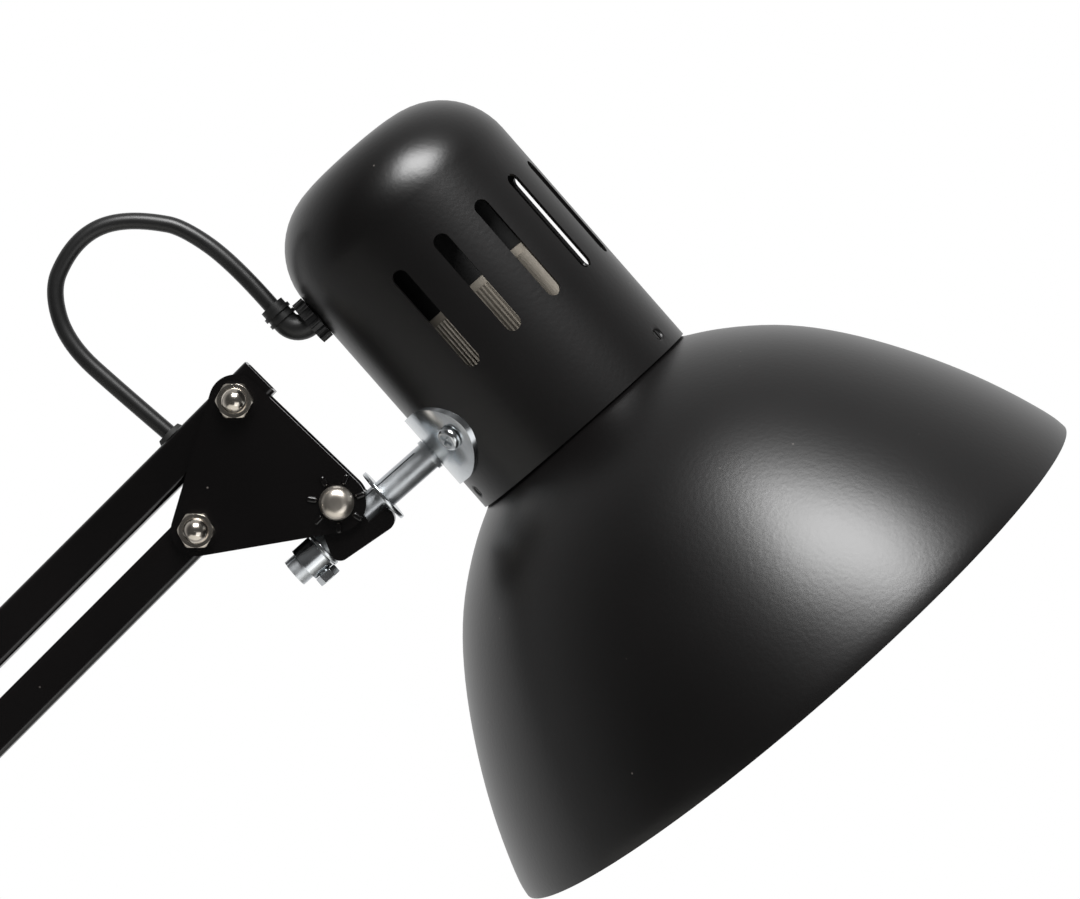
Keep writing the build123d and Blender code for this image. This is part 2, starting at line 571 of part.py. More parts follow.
parts["base_acorn_nuts"] = Compound(children=[acorn_nut(spot, FORK_OUTSIDE) for spot in base_pivots])
parts["thrust_washer"] = ring(9.5, POST_R + 0.1, BOSS_TOP + 0.02, BOSS_TOP + 1.05)

SPINE_BACK = SPINE_FRONT + SPINE_SHEET
LOWER_JAW_LOW = LOWER_JAW_TOP - LOWER_JAW_SHEET
LOWER_JAW_FRONT = CLAMP_SCREW_Y - 14.0
jaw_profile = Polyline((JAW_FRONT, JAW_SHEET), (SPINE_BACK, JAW_SHEET), (SPINE_BACK, LOWER_JAW_LOW),
                       (LOWER_JAW_FRONT, LOWER_JAW_LOW), (LOWER_JAW_FRONT, LOWER_JAW_TOP),
                       (SPINE_FRONT, LOWER_JAW_TOP), (SPINE_FRONT, 0), (JAW_FRONT, 0), close=True)
side_plane = Plane(origin=(-JAW_HALF, 0, 0), x_dir=(0, 1, 0), z_dir=(1, 0, 0))
clamp = extrude(side_plane * make_face(jaw_profile), 2 * JAW_HALF)
clamp = fillet(clamp.edges().filter_by(Axis.X).group_by(Axis.Y)[-1], 3.0)
NUT_BOSS_R = 9.5
NUT_BOSS_DEPTH = 9.0
clamp = joined([clamp, Pos(0, 0, JAW_SHEET - 1) * upright(BOSS_R, BOSS_TOP - JAW_SHEET + 1),
                Pos(0, CLAMP_SCREW_Y, LOWER_JAW_LOW + 1) * hung(NUT_BOSS_R, NUT_BOSS_DEPTH)])
clamp -= Pos(0, 0, POST_LOW - 2) * upright(POST_R + RUNNING_FIT, BOSS_TOP)
clamp -= Pos(0, CLAMP_SCREW_Y, LOWER_JAW_TOP + 2) * hung(CLAMP_SCREW_R + RUNNING_FIT, 40)
GRUB_Z = 30.0
grub_frame = Plane(origin=(0, 0, GRUB_Z), x_dir=(1, 0, 0), z_dir=(0, -1, 0))
clamp -= extrude(grub_frame.offset(POST_R) * Circle(2.53), 12)
parts["clamp_frame"] = clamp
grub = extrude(grub_frame.offset(POST_R + 0.3) * Circle(2.5), 8)
grub += extrude(grub_frame.offset(BOSS_R + 0.8) * Circle(6.5), 5)
thumb_grips = [grub_frame * Rot(0, 0, 45 * index) * Pos(6.5, 0, BOSS_R + 3.3) * Cylinder(1.3, 5)
               for index in range(8)]
parts["post_thumb_screw"] = grub.fuse(*thumb_grips)

PAD_BOTTOM = PAD_TOP - PAD_SHEET
parts["clamp_pad"] = Pos(0, CLAMP_SCREW_Y, 0) * turned([
    (0, PAD_TOP), (PAD_R, PAD_TOP), (PAD_R, PAD_TOP - 2), (8.0, PAD_BOTTOM), (6.6, PAD_BOTTOM),
    (6.6, PAD_BOTTOM + 1.4), (0, PAD_BOTTOM + 1.4)])
SCREW_TOP = PAD_BOTTOM + 1.0
clamp_screw = Pos(0, CLAMP_SCREW_Y, 0) * turned([
    (0, SCREW_TOP), (4.0, SCREW_TOP), (CLAMP_SCREW_R, SCREW_TOP - 1), (CLAMP_SCREW_R, CLAMP_SCREW_END + 14),
    (7.5, CLAMP_SCREW_END + 13), (7.5, CLAMP_SCREW_END + 1), (6.5, CLAMP_SCREW_END), (0, CLAMP_SCREW_END)])
BAR_Z = CLAMP_SCREW_END + 7.0
tommy_place = Pos(0, CLAMP_SCREW_Y, BAR_Z) * Rot(0, 90, 0)
clamp_screw -= tommy_place * Cylinder(2.53, 40)
parts["clamp_screw"] = clamp_screw
tommy_ends = [tommy_place * Pos(0, 0, end) * Sphere(4.0) for end in (-27, 27)]
parts["tommy_bar"] = (tommy_place * Cylinder(2.5, 54)).fuse(*tommy_ends)

# Spring pins and springs


def biarc(start, start_way, end, end_way):
    """Two tangent arcs from a point and direction to another."""
    span = end - start
    along = span.dot(start_way + end_way)
    turn = 2 * (1 - start_way.dot(end_way))
    reach = (math.sqrt(along ** 2 + turn * span.dot(span)) - along) / turn
    first = start + start_way * reach
    second = end - end_way * reach
    middle = (first + second) / 2
    return [Edge.make_tangent_arc(start, start_way, middle),
            Edge.make_tangent_arc(middle, (second - first).normalized(), end)]


def swept_tube(edges, radius):
    path = Wire(edges)
    section = Plane(origin=path @ 0, z_dir=path % 0) * Circle(radius)
    return sweep(section, path=path)


def hook_pin(spot, inside):
    """A pin across an arm, with a shoulder and a flange on each side for a spring's hook."""
    pin = cross_pin(spot, 2.0, -inside - 1, inside + 1)
    for way in (-1, 1):
        ends = sorted((way * inside, way * (SPRING_Y + 2.0)))
        pin += cross_pin(spot, SPRING_PIN_R, ends[0], ends[1])
        ends = sorted((way * (SPRING_Y + 2.0), way * (SPRING_Y + 3.2)))
        pin += cross_pin(spot, SPRING_PIN_R + 1.3, ends[0], ends[1])
    return pin


def spring(first, second):
    """A stretched helical spring with a half-round hook round a pin at each end."""
    span = second - first
    length = span.length
    way = span.normalized()
    coil = SPRING_PITCH * (SPRING_TURNS + 0.5)
    leg = (length - coil) / 2 - SPRING_BLEND

    def on_helix(turns):
        angle = 2 * math.pi * turns
        height = leg + SPRING_BLEND + (turns - 0.25) * SPRING_PITCH
        return Vector(SPRING_R * math.cos(angle), SPRING_R * math.sin(angle), height)

    def helix_way(turns):
        angle = 2 * math.pi * turns
        speed = 2 * math.pi * SPRING_R
        return Vector(-speed * math.sin(angle), speed * math.cos(angle), SPRING_PITCH).normalized()

    up = Vector(0, 0, 1)
    side = Vector(SPRING_R, 0, 0)
    last = SPRING_TURNS + 0.75
    edges = [Edge.make_three_point_arc(-side, Vector(0, 0, -SPRING_R), side),
             Edge.make_line(side, side + up * leg)]
    edges += biarc(side + up * leg, up, on_helix(0.25), helix_way(0.25))
    steps = 2 * SPRING_TURNS + 1
    for index in range(steps):
        here = 0.25 + 0.5 * index
        there = here + 0.5
        edges += biarc(on_helix(here), helix_way(here), on_helix(there), helix_way(there))
    edges += biarc(on_helix(last), helix_way(last), side + up * (length - leg), up)
    edges.append(Edge.make_line(side + up * (length - leg), side + up * length))
    top = up * length
    edges.append(Edge.make_three_point_arc(top + side, top + up * SPRING_R, top - side))
    tube = swept_tube(edges, SPRING_WIRE_R)
    wire = Wire(edges).length
    print("spring: wire", round(wire, 1), "least gap", round(SPRING_PITCH - 2 * SPRING_WIRE_R, 2),
          "volume ratio", round(tube.volume / (wire * math.pi * SPRING_WIRE_R ** 2), 3))
    across = Vector(-way.Y, way.X)
    frame = Plane(origin=(first.X, SPRING_Y, first.Y), x_dir=(across.X, 0, across.Y),
                  z_dir=(way.X, 0, way.Y))
    return frame * tube


parts["fork_spring_pin"] = hook_pin(FORK_HOOK, FORK_OUTSIDE + 0.02)
parts["lower_bar_spring_pin"] = hook_pin(LOWER_BAR_HOOK, BAR_SIDE / 2 + 0.3)
parts["elbow_spring_pin"] = hook_pin(ELBOW_HOOK, PLATE_OUTSIDE + 0.02)
parts["upper_bar_spring_pin"] = hook_pin(UPPER_BAR_HOOK, BAR_SIDE / 2 + 0.3)
for arm, first, second in (("lower", FORK_HOOK, LOWER_BAR_HOOK), ("upper", ELBOW_HOOK, UPPER_BAR_HOOK)):
    far_spring = spring(first, second)
    near_spring = mirror(far_spring, about=Plane.XZ)
    parts[f"{arm}_springs"] = Compound(children=[*far_spring.solids(), *near_spring.solids()])

# Cord: free stretches as tubes along hand-chosen points, runs inside the bars, a tied coil


def route_radii(points):
    """The largest arcs that a route's runs leave room for."""
    radii = []
    for before, here, after in zip(points, points[1:], points[2:]):
        first = here - before
        second = after - here
        turn = math.radians(first.get_angle(second))
        radii.append(0.45 * min(first.length, second.length) / math.tan(turn / 2))
    return radii


def cord_tube(points):
    """A tube along a route of straight runs and the arcs between them."""
    points = [Vector(*point) for point in points]
    radii = route_radii(points)
    path = FilletPolyline(*points, radius=radii)
    tube = sweep(Plane(origin=path @ 0, z_dir=path % 0) * Circle(CORD_R), path=path)
    print("cord radii", [round(radius, 1) for radius in radii], "length", round(path.length, 1),
          "volume ratio", round(tube.volume / (path.length * math.pi * CORD_R ** 2), 3))
    return tube


def bar_exit(start, way, side, distance):
    """Where the cord leaves a bar: the outer face of a grommet."""
    spot = start + way * distance + side * (BAR_SIDE / 2 + GROMMET_PROUD)
    return (spot.X, 0, spot.Y)


BOOT_END = head_spot(BOOT_OUT, BOOT_TOP)
BOOT_NEXT = head_spot(BOOT_OUT, BOOT_TOP + 14.0)
HEAD_ROUTE = [(BOOT_END.X, 0, BOOT_END.Y), (BOOT_NEXT.X, 0, BOOT_NEXT.Y), (111.5, 0, 725.2),
              (97.5, 0, 727.8), (85.5, 0, 722.2), (80.3, 0, 710.2), (84.0, 0, 697.4), (97.6, 0, 685.2),
              bar_exit(ELBOW_TOP, UPPER_WAY, UPPER_SIDE, UPPER_GROMMETS[1])]
ELBOW_ROUTE = [bar_exit(ELBOW_TOP, UPPER_WAY, UPPER_SIDE, UPPER_GROMMETS[0]), (-104.8, 0, 477.6),
               (-120.3, 0, 481.7), (-144.7, 0, 472.9), (-157.4, 0, 454.8), (-164.4, 0, 421.6),
               (-165.6, 0, 387.6), (-159.9, 0, 366.3), (-149.2, 0, 357.3), (-137.4, 0, 355.3),
               bar_exit(BASE_REAR, LOWER_WAY, LOWER_SIDE, LOWER_GROMMETS[1])]
BASE_ROUTE = [bar_exit(BASE_REAR, LOWER_WAY, LOWER_SIDE, LOWER_GROMMETS[0]), (-39.6, 0, 113.5),
              (-49.0, 0, 103.1), (-55.8, 0, 82.2), (-58.6, 0, 54.3), (-62.4, 0, 30.5), (-71.0, 0, 16.0),
              (-84.0, 0, 9.2), (-100.0, 0, SWITCH_CORD_Z), (SWITCH_NEAR, 0, SWITCH_CORD_Z)]
COIL_FIRST = (COIL_CENTRE.X - COIL_R, COIL_CENTRE.Y + CORD_GAP, COIL_LOW)
TAIL_ROUTE = [(SWITCH_NEAR - SWITCH_LENGTH, 0, SWITCH_CORD_Z), (-179.0, 0, SWITCH_CORD_Z),
              (-186.5, -4.8, 5.8), (-190.8, -13.0, 4.4), (-192.0, -23.0, 3.3), (-192.0, -34.0, COIL_LOW),
              COIL_FIRST]
parts["cord_head"] = cord_tube(HEAD_ROUTE)
parts["cord_elbow"] = cord_tube(ELBOW_ROUTE)
parts["cord_base"] = cord_tube(BASE_ROUTE)
parts["cord_tail"] = cord_tube(TAIL_ROUTE)


def cord_run(start, way, grommets):
    """The cord inside a bar, from one grommet to the other."""
    first = start + way * grommets[0]
    frame = Plane(origin=(first.X, 0, first.Y), x_dir=(0, 1, 0), z_dir=(way.X, 0, way.Y))
    return extrude(frame * Circle(CORD_R), grommets[1] - grommets[0])


parts["cord_upper_run"] = cord_run(ELBOW_TOP, UPPER_WAY, UPPER_GROMMETS)
parts["cord_lower_run"] = cord_run(BASE_REAR, LOWER_WAY, LOWER_GROMMETS)


def coil_point(turns):
    """Cord's centre line in the coil: it spirals in, climbs a layer in half a turn and spirals out."""
    top = COIL_LOW + COIL_STEP
    if turns <= COIL_DOWN_TURNS:
        radius, height = COIL_R - COIL_STEP * turns, COIL_LOW
    elif turns <= COIL_DOWN_TURNS + COIL_CLIMB:
        part = turns - COIL_DOWN_TURNS
        share = part / COIL_CLIMB
        radius = COIL_R - COIL_STEP * (COIL_DOWN_TURNS + part - part ** 2 / COIL_CLIMB)
        height = COIL_LOW + COIL_STEP * share ** 2 * (3 - 2 * share)
    else:
        radius, height = COIL_R - COIL_STEP * (2 * COIL_DOWN_TURNS + COIL_CLIMB - turns), top
    place = COIL_CENTRE + polar(radius, COIL_START + 360 * turns)
    return Vector(place.X, place.Y, height)


def coil_way(turns):
    step = 1e-4
    low = max(turns - step, 0)
    high = min(turns + step, COIL_TURNS)
    return (coil_point(high) - coil_point(low)).normalized()


quarters = [index / 4 for index in range(int(COIL_TURNS * 4) + 1)]
coil_edges = []
for here, there in zip(quarters, quarters[1:]):
    coil_edges += biarc(coil_point(here), coil_way(here), coil_point(there), coil_way(there))
coil_end = coil_point(COIL_TURNS)
lead_way = coil_way(COIL_TURNS)
lead_end = coil_end + lead_way * ((PLUG_START - CORD_GAP - coil_end.X) / lead_way.X)
PLUG_Y = lead_end.Y
PLUG_Z = lead_end.Z
coil_edges.append(Edge.make_line(coil_end, lead_end))
coil = swept_tube(coil_edges, CORD_R)
parts["cord_coil"] = coil
coil_length = Wire(coil_edges).length
samples = [coil_point(index / 72) for index in range(int(COIL_TURNS * 72) + 1)]
turn_gaps = [(first - second).length - 2 * CORD_R
             for index, first in enumerate(samples) for second in samples[index + 36:]]
print("coil: cord", round(coil_length, 1), "least gap", round(min(turn_gaps), 2), "volume ratio",
      round(coil.volume / (coil_length * math.pi * CORD_R ** 2), 3))

tie_low = COIL_R - COIL_STEP * (COIL_DOWN_TURNS + COIL_CLIMB / 2) - CORD_R - 0.3
tie_high = COIL_R + CORD_R + 0.4
tie_top = COIL_LOW + COIL_STEP + CORD_R + 0.3
TIE_WIDTH = 9.0
tie_plane = Plane(origin=(COIL_CENTRE.X, COIL_CENTRE.Y - TIE_WIDTH / 2, 0), x_dir=(1, 0, 0),
                  z_dir=(0, -1, 0))
tie_middle = Pos((tie_low + tie_high) / 2, (TIE_SHEET + 0.05 + tie_top) / 2)
tie_inner = RectangleRounded(tie_high - tie_low, tie_top - TIE_SHEET - 0.05, 1.5)
tie_outer = RectangleRounded(tie_high - tie_low + 2 * TIE_SHEET, tie_top + TIE_SHEET - 0.05, 2.1)
parts["coil_tie"] = extrude(tie_plane * tie_middle * (tie_outer - tie_inner), -TIE_WIDTH)

# Inline switch: two shells and a rocker
switch_middle = SWITCH_NEAR - SWITCH_LENGTH / 2
switch_outline = Pos(switch_middle, 0) * SlotOverall(SWITCH_LENGTH, SWITCH_WIDTH)
switch_block = extrude(Plane.XY * switch_outline, SWITCH_TOP)
switch_block = fillet(switch_block.edges().group_by(Axis.Z)[-1], 3.0)
cord_ends = Pos(switch_middle, 0, SWITCH_CORD_Z) * Rot(0, 90, 0) * Cylinder(CORD_R + 1.4, SWITCH_LENGTH)
switch_block += cord_ends
halves = split(switch_block, bisect_by=Plane.XY.offset(SWITCH_SPLIT), keep=Keep.BOTH)
switch_solids = halves.solids().sort_by(Axis.Z)
ROCKER_LENGTH = 20.0
ROCKER_WIDTH = 9.0
ROCKER_PIVOT_Z = SWITCH_TOP - 2.0
window = Pos(switch_middle, 0, SWITCH_TOP) * Box(ROCKER_LENGTH + 1.2, ROCKER_WIDTH + 1.0, 13.0)
parts["switch_lower_shell"] = switch_solids[0]
rocker_pivot = Vector(switch_middle, ROCKER_PIVOT_Z)
upper_shell = switch_solids[-1] - window
parts["switch_upper_shell"] = upper_shell - cross_pin(rocker_pivot, TRUNNION_R + RUNNING_FIT, -6.5, 6.5)
rocker_profile = Polyline((-10, 1.9), (-9.4, 2.7), (0, 1.2), (9.4, 2.7), (10, 1.9), (10, -0.4),
                          (4, -3.0), (-4, -3.0), (-10, -0.4), close=True)
rocker = extrude(arm_plane(ROCKER_WIDTH / 2) * make_face(rocker_profile), ROCKER_WIDTH)
rocker = Pos(switch_middle, 0, ROCKER_PIVOT_Z) * Rot(0, -ROCKER_TILT, 0) * rocker
parts["switch_rocker"] = rocker + cross_pin(rocker_pivot, TRUNNION_R, -6.0, 6.0)

# Two-pin plug lying flat beside the coil
PLUG_LENGTH = 34.0
PLUG_HALF = 15.0
PLUG_NECK_HALF = 6.0
NOSE_LENGTH = 12.0
nose_frame = Plane(origin=(PLUG_START, PLUG_Y, PLUG_Z), z_dir=(1, 0, 0))
nose = nose_frame * Cone(3.2, 4.6, NOSE_LENGTH, align=(Align.CENTER, Align.CENTER, Align.MIN))
plug_neck = PLUG_START + NOSE_LENGTH - 1
plug_shoulder = plug_neck + 9.0
plug_end = plug_neck + PLUG_LENGTH
plug_outline = Polyline((plug_neck, -PLUG_NECK_HALF), (plug_shoulder, -PLUG_HALF), (plug_end, -PLUG_HALF),
                        (plug_end, PLUG_HALF), (plug_shoulder, PLUG_HALF), (plug_neck, PLUG_NECK_HALF),
                        close=True)
plug_body = extrude(Plane.XY * Pos(0, PLUG_Y) * make_face(plug_outline), 2 * PLUG_Z)
plug_body = fillet(plug_body.edges().filter_by(Axis.Z), 2.5)
plug_body = fillet(plug_body.edges().group_by(Axis.Z)[-1] + plug_body.edges().group_by(Axis.Z)[0], 2.0)
PIN_SPREAD = 9.3
PIN_R = 2.0
PIN_LENGTH = 19.0
PIN_ROOT = 6.0
plug = plug_body + nose
pins = []
for way in (-1, 1):
    pin_frame = Plane(origin=(plug_end - PIN_ROOT, PLUG_Y + way * PIN_SPREAD, PLUG_Z), z_dir=(1, 0, 0))
    pins.append(pin_frame * upright(PIN_R, PIN_ROOT + PIN_LENGTH))
    plug -= pin_frame.offset(-0.05) * upright(PIN_R + BOLT_FIT, 2 * PIN_ROOT)
parts["plug"] = plug
parts["plug_pins"] = Compound(children=pins)

os.makedirs("parts", exist_ok=True)
for name, shape in parts.items():
    export_step(shape, f"parts/{name}.step")
print(len(parts), "nodes")
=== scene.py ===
import json
import math

import bpy
from mathutils import Matrix, Vector


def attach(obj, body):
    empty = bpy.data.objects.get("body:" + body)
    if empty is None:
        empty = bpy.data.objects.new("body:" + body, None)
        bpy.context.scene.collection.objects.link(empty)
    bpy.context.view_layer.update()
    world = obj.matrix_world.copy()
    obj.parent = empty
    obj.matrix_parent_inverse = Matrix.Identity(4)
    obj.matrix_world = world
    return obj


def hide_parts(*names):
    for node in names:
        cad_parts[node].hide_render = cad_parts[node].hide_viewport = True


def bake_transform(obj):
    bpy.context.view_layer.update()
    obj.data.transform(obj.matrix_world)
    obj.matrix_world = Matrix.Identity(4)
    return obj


bl_info = {
    "name": "Swing arm desk lamp",
    "version": (1, 0, 0),
    "blender": (4, 5, 0),
    "location": "3D View > Sidebar > Lamp",
    "description": "Dresses a swing arm desk lamp with its shade, springs, cord, finishes, light and camera",
    "category": "Object",
}

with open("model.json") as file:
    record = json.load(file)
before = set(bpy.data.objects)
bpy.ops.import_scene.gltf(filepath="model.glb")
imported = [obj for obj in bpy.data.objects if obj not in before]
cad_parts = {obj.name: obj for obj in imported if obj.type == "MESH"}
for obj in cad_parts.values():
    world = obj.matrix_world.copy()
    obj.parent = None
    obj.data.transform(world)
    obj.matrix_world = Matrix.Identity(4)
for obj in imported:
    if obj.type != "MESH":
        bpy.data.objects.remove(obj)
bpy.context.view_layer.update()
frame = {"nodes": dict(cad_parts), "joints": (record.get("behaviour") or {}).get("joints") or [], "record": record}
NODES = frame["nodes"]
SLOT_OF = {part["node"]: part["material_slot"] for part in frame["record"]["subparts"]}
BODY_OF = {node: body for body, nodes in frame["record"]["behaviour"]["bodies"].items() for node in nodes}
PIVOT = {joint["name"]: Vector(joint["pos_m"]) for joint in frame["joints"] if "pos_m" in joint}
AXIS = {joint["name"]: Vector(joint["axis"]) for joint in frame["joints"]}
MM = 0.001

# The head's own frame: Z up the lamp's axis from the cap's rim, X along the rod, Y to the near side
SADDLE_HEIGHT = 18.5 * MM
ROD_POINT = 40.0 * MM
HEAD_X = AXIS["head_swivel"]
HEAD_Z = Vector((HEAD_X.z, 0, -HEAD_X.x))
HEAD_ORIGIN = PIVOT["head_swivel"] - HEAD_X * ROD_POINT - HEAD_Z * SADDLE_HEIGHT
HEAD = Matrix.Translation(HEAD_ORIGIN) @ Matrix((HEAD_X, HEAD_Z.cross(HEAD_X), HEAD_Z)).transposed().to_4x4()

# Cord routes in millimetres, as the solids have them; x and z where a route stays in the arm plane
HEAD_ROUTE = [(132.594, 706.451), (123.354, 716.969), (111.5, 725.2), (97.5, 727.8), (85.5, 722.2),
              (80.3, 710.2), (84.0, 697.4), (97.6, 685.2), (108.006, 676.278)]
ELBOW_ROUTE = [(-97.763, 470.510), (-104.8, 477.6), (-120.3, 481.7), (-144.7, 472.9), (-157.4, 454.8),
               (-164.4, 421.6), (-165.6, 387.6), (-159.9, 366.3), (-149.2, 357.3), (-137.4, 355.3),
               (-128.480, 360.187)]
BASE_ROUTE = [(-30.333, 117.265), (-39.6, 113.5), (-49.0, 103.1), (-55.8, 82.2), (-58.6, 54.3), (-62.4, 30.5),
              (-71.0, 16.0), (-84.0, 9.2), (-100.0, 7.0), (-116.0, 7.0)]
TAIL_ROUTE = [(-172.0, 0.0, 7.0), (-179.0, 0.0, 7.0), (-186.5, -4.8, 5.8), (-190.8, -13.0, 4.4),
              (-192.0, -23.0, 3.3), (-192.0, -34.0, 2.9)]
# Where the stretches of a loop meet, counted in runs along its route
HEAD_SPLITS = (2.25, 4.65)
ELBOW_SPLITS = (5.5,)
BASE_SPLITS = (4.5,)
# The put-away coil in millimetres, which lies on the table in two layers
COIL_CENTRE = (-165.0, -45.0)
COIL_R = 27.0
COIL_STEP = 4.6
COIL_LOW = 2.9
COIL_TURNS = 4.25
COIL_DOWN_TURNS = 2.0
COIL_CLIMB = 0.5
COIL_POINTS = 16
PLUG_NOSE = (-138.15, -71.61, 7.5)
UPPER_GROMMETS = (22.0 * MM, 313.0 * MM)
LOWER_GROMMETS = (40.0 * MM, 302.0 * MM)

# Springs, as the solids have them
SPRING_R = 3.6 * MM
SPRING_PITCH = 3.2 * MM
SPRING_TURNS = 24.5
SPRING_BLEND = 5.0 * MM
SPRING_Y = 12.5 * MM
SPRING_AT = 120.0 * MM
SPRING_LEAD = 0.25
SPRING_KNEE = 0.6
FORK_HOOK = Vector((28.0, 0, 72.0)) * MM
ELBOW_HOOK = PIVOT["elbow"] + Vector((-14.0, 0, 20.0)) * MM

# How finely cord and springs are drawn
CORD_RESOLUTION = 12
CORD_ROUNDNESS = 4
SPRING_RESOLUTION = 3
WIRE_ROUNDNESS = 2
SPRING_STEPS = 12
HOOK_STEPS = 8


def linear(hex_colour):
    """Linear colour of an sRGB hex value."""
    values = [int(hex_colour[i:i + 2], 16) / 255 for i in (1, 3, 5)]
    return [v / 12.92 if v <= 0.04045 else ((v + 0.055) / 1.055) ** 2.4 for v in values]


class LampSizes(bpy.types.PropertyGroup):
    """Sizes that the dressed lamp takes beside those of its solids."""

    cord_diameter: bpy.props.FloatProperty(
        name="Cord diameter", description="Round mains lead", default=4.0 * MM, unit="LENGTH")
    spring_wire: bpy.props.FloatProperty(
        name="Spring wire", description="Diameter of the springs' wire", default=1.2 * MM, unit="LENGTH")
    sheet: bpy.props.FloatProperty(
        name="Sheet", description="Thickness of the shade's and cap's sheet", default=0.8 * MM, unit="LENGTH")
    table_thickness: bpy.props.FloatProperty(
        name="Table thickness", description="Table top in the clamp", default=24.6 * MM, unit="LENGTH")


class LampColours(bpy.types.PropertyGroup):
    """Colours of the finishes."""

    coat: bpy.props.FloatVectorProperty(
        name="Powder coat", description="Satin black coat on steel", subtype="COLOR",
        default=linear("#050404"))
    lining: bpy.props.FloatVectorProperty(
        name="Shade lining", description="White enamel inside the shade", subtype="COLOR",
        default=linear("#e9e7e1"))
    zinc: bpy.props.FloatVectorProperty(
        name="Zinc plate", description="Bright zinc on steel", subtype="COLOR", default=linear("#d3d7da"))
    nickel: bpy.props.FloatVectorProperty(
        name="Nickel plate", description="Polished nickel", subtype="COLOR", default=linear("#ddd5ca"))
    cord: bpy.props.FloatVectorProperty(
        name="Cord", description="Black PVC sheath", subtype="COLOR", default=linear("#101010"))
    socket: bpy.props.FloatVectorProperty(
        name="Socket", description="Warm grey moulded socket", subtype="COLOR", default=linear("#928b80"))
    table: bpy.props.FloatVectorProperty(
        name="Table", description="Pale laminate", subtype="COLOR", default=linear("#c6c5c1"))


class LampView(bpy.types.PropertyGroup):
    """Camera and light."""

    lens: bpy.props.FloatProperty(
        name="Lens", description="Focal length on a 36 mm sensor", default=101.8, unit="CAMERA")
    distance: bpy.props.FloatProperty(
        name="Distance", description="Camera to the middle of the picture", default=0.73, unit="LENGTH")
    lean: bpy.props.FloatProperty(
        name="Lean", description="How far the view turns towards the cap", default=math.radians(1.7),
        subtype="ANGLE")
    key: bpy.props.FloatProperty(
        name="Key light", description="Power of the softbox above the camera", default=28.0, unit="POWER")


def sizes():
    return bpy.context.scene.lamp_sizes


def colours():
    return bpy.context.scene.lamp_colours


# Materials

RAMP = "ShaderNodeValToRGB"
NOISE = "ShaderNodeTexNoise"
BUMP = "ShaderNodeBump"
# Height of the finest relief, and the sizes of the patterns
RELIEF = 0.1 * MM
COAT_CLOUDS = 50.0 * MM
DUST_GAP = 9.0 * MM
ENAMEL_CLOUDS = 30.0 * MM
PLATE_SPANGLE = 4.0 * MM
ROLLING_RIPPLE = 0.9 * MM
MOULD_CLOUDS = 12.0 * MM
LAMINATE_CLOUDS = 80.0 * MM
# Orange peel is about 0.4 mm on the real coat, and drawn coarser so that it shows
ORANGE_PEEL = 1.1 * MM


def feed(tree, made, inputs):
    """Sets inputs of a node: each is a value, or an output to link."""
    for name, value in inputs.items():
        if isinstance(value, bpy.types.NodeSocket):
            tree.links.new(value, made.inputs[name])
        else:
            made.inputs[name].default_value = value


def node(tree, kind, inputs, stops=(), **settings):
    """Adds a shader node with its settings, its inputs and, on a ramp, its (place, colour) stops."""
    made = tree.nodes.new(kind)
    for name, value in settings.items():
        setattr(made, name, value)
    feed(tree, made, inputs)
    if stops:
        for element, (place, colour) in zip(made.color_ramp.elements, stops):
            element.position = place
            element.color = (*colour[:3], 1)
    return made


def blank(name):
    """A material with its shader, and the object coordinates that its patterns read."""
    made = bpy.data.materials.new(name)
    made.use_nodes = True
    tree = made.node_tree
    where = node(tree, "ShaderNodeTexCoord", {}).outputs["Object"]
    return made, tree, tree.nodes["Principled BSDF"], where


def scaled(colour, factor):
    return [min(1.0, channel * factor) for channel in colour[:3]]


def grey(value):
    return (value, value, value)


def powder_coat(name, gloss):
    """Epoxy powder baked on steel: near black, satin, with a soft orange peel and a little dust."""
    made, tree, shader, where = blank(name)
    coat = colours().coat
    clouds = node(tree, NOISE, {"Vector": where, "Scale": 1 / COAT_CLOUDS, "Detail": 3.0})
    tone = node(tree, RAMP, {"Fac": clouds.outputs["Fac"]},
                [(0.3, scaled(coat, 0.8)), (0.7, scaled(coat, 1.3))])
    specks = node(tree, "ShaderNodeTexVoronoi", {"Vector": where, "Scale": 1 / DUST_GAP})
    dust = node(tree, RAMP, {"Fac": specks.outputs["Distance"]}, [(0.0, grey(1.0)), (0.035, grey(0.0))])
    colour = node(tree, "ShaderNodeMix", {"Factor": dust.outputs["Color"], "A": tone.outputs["Color"],
                                          "B": (*linear("#5b5753"), 1)}, data_type="RGBA")
    peel = node(tree, NOISE, {"Vector": where, "Scale": 1 / ORANGE_PEEL, "Detail": 2.0})
    bump = node(tree, BUMP, {"Height": peel.outputs["Fac"], "Strength": 0.22, "Distance": RELIEF})
    rough = node(tree, RAMP, {"Fac": clouds.outputs["Fac"]}, [(0.2, grey(gloss[0])), (0.8, grey(gloss[1]))])
    feed(tree, shader, {"Base Color": colour.outputs["Result"], "Roughness": rough.outputs["Color"],
                        "Normal": bump.outputs["Normal"]})
    return made


def enamel_lining():
    """Stoved white enamel: smooth, slightly warm, with a faint unevenness of the spray."""
    made, tree, shader, where = blank("white_enamel_lining")
    lining = colours().lining
    clouds = node(tree, NOISE, {"Vector": where, "Scale": 1 / ENAMEL_CLOUDS, "Detail": 3.0})
    tone = node(tree, RAMP, {"Fac": clouds.outputs["Fac"]}, [(0.3, scaled(lining, 0.94)), (0.7, lining)])
    rough = node(tree, RAMP, {"Fac": clouds.outputs["Fac"]}, [(0.2, grey(0.30)), (0.8, grey(0.38))])
    feed(tree, shader, {"Base Color": tone.outputs["Color"], "Roughness": rough.outputs["Color"]})
    return made


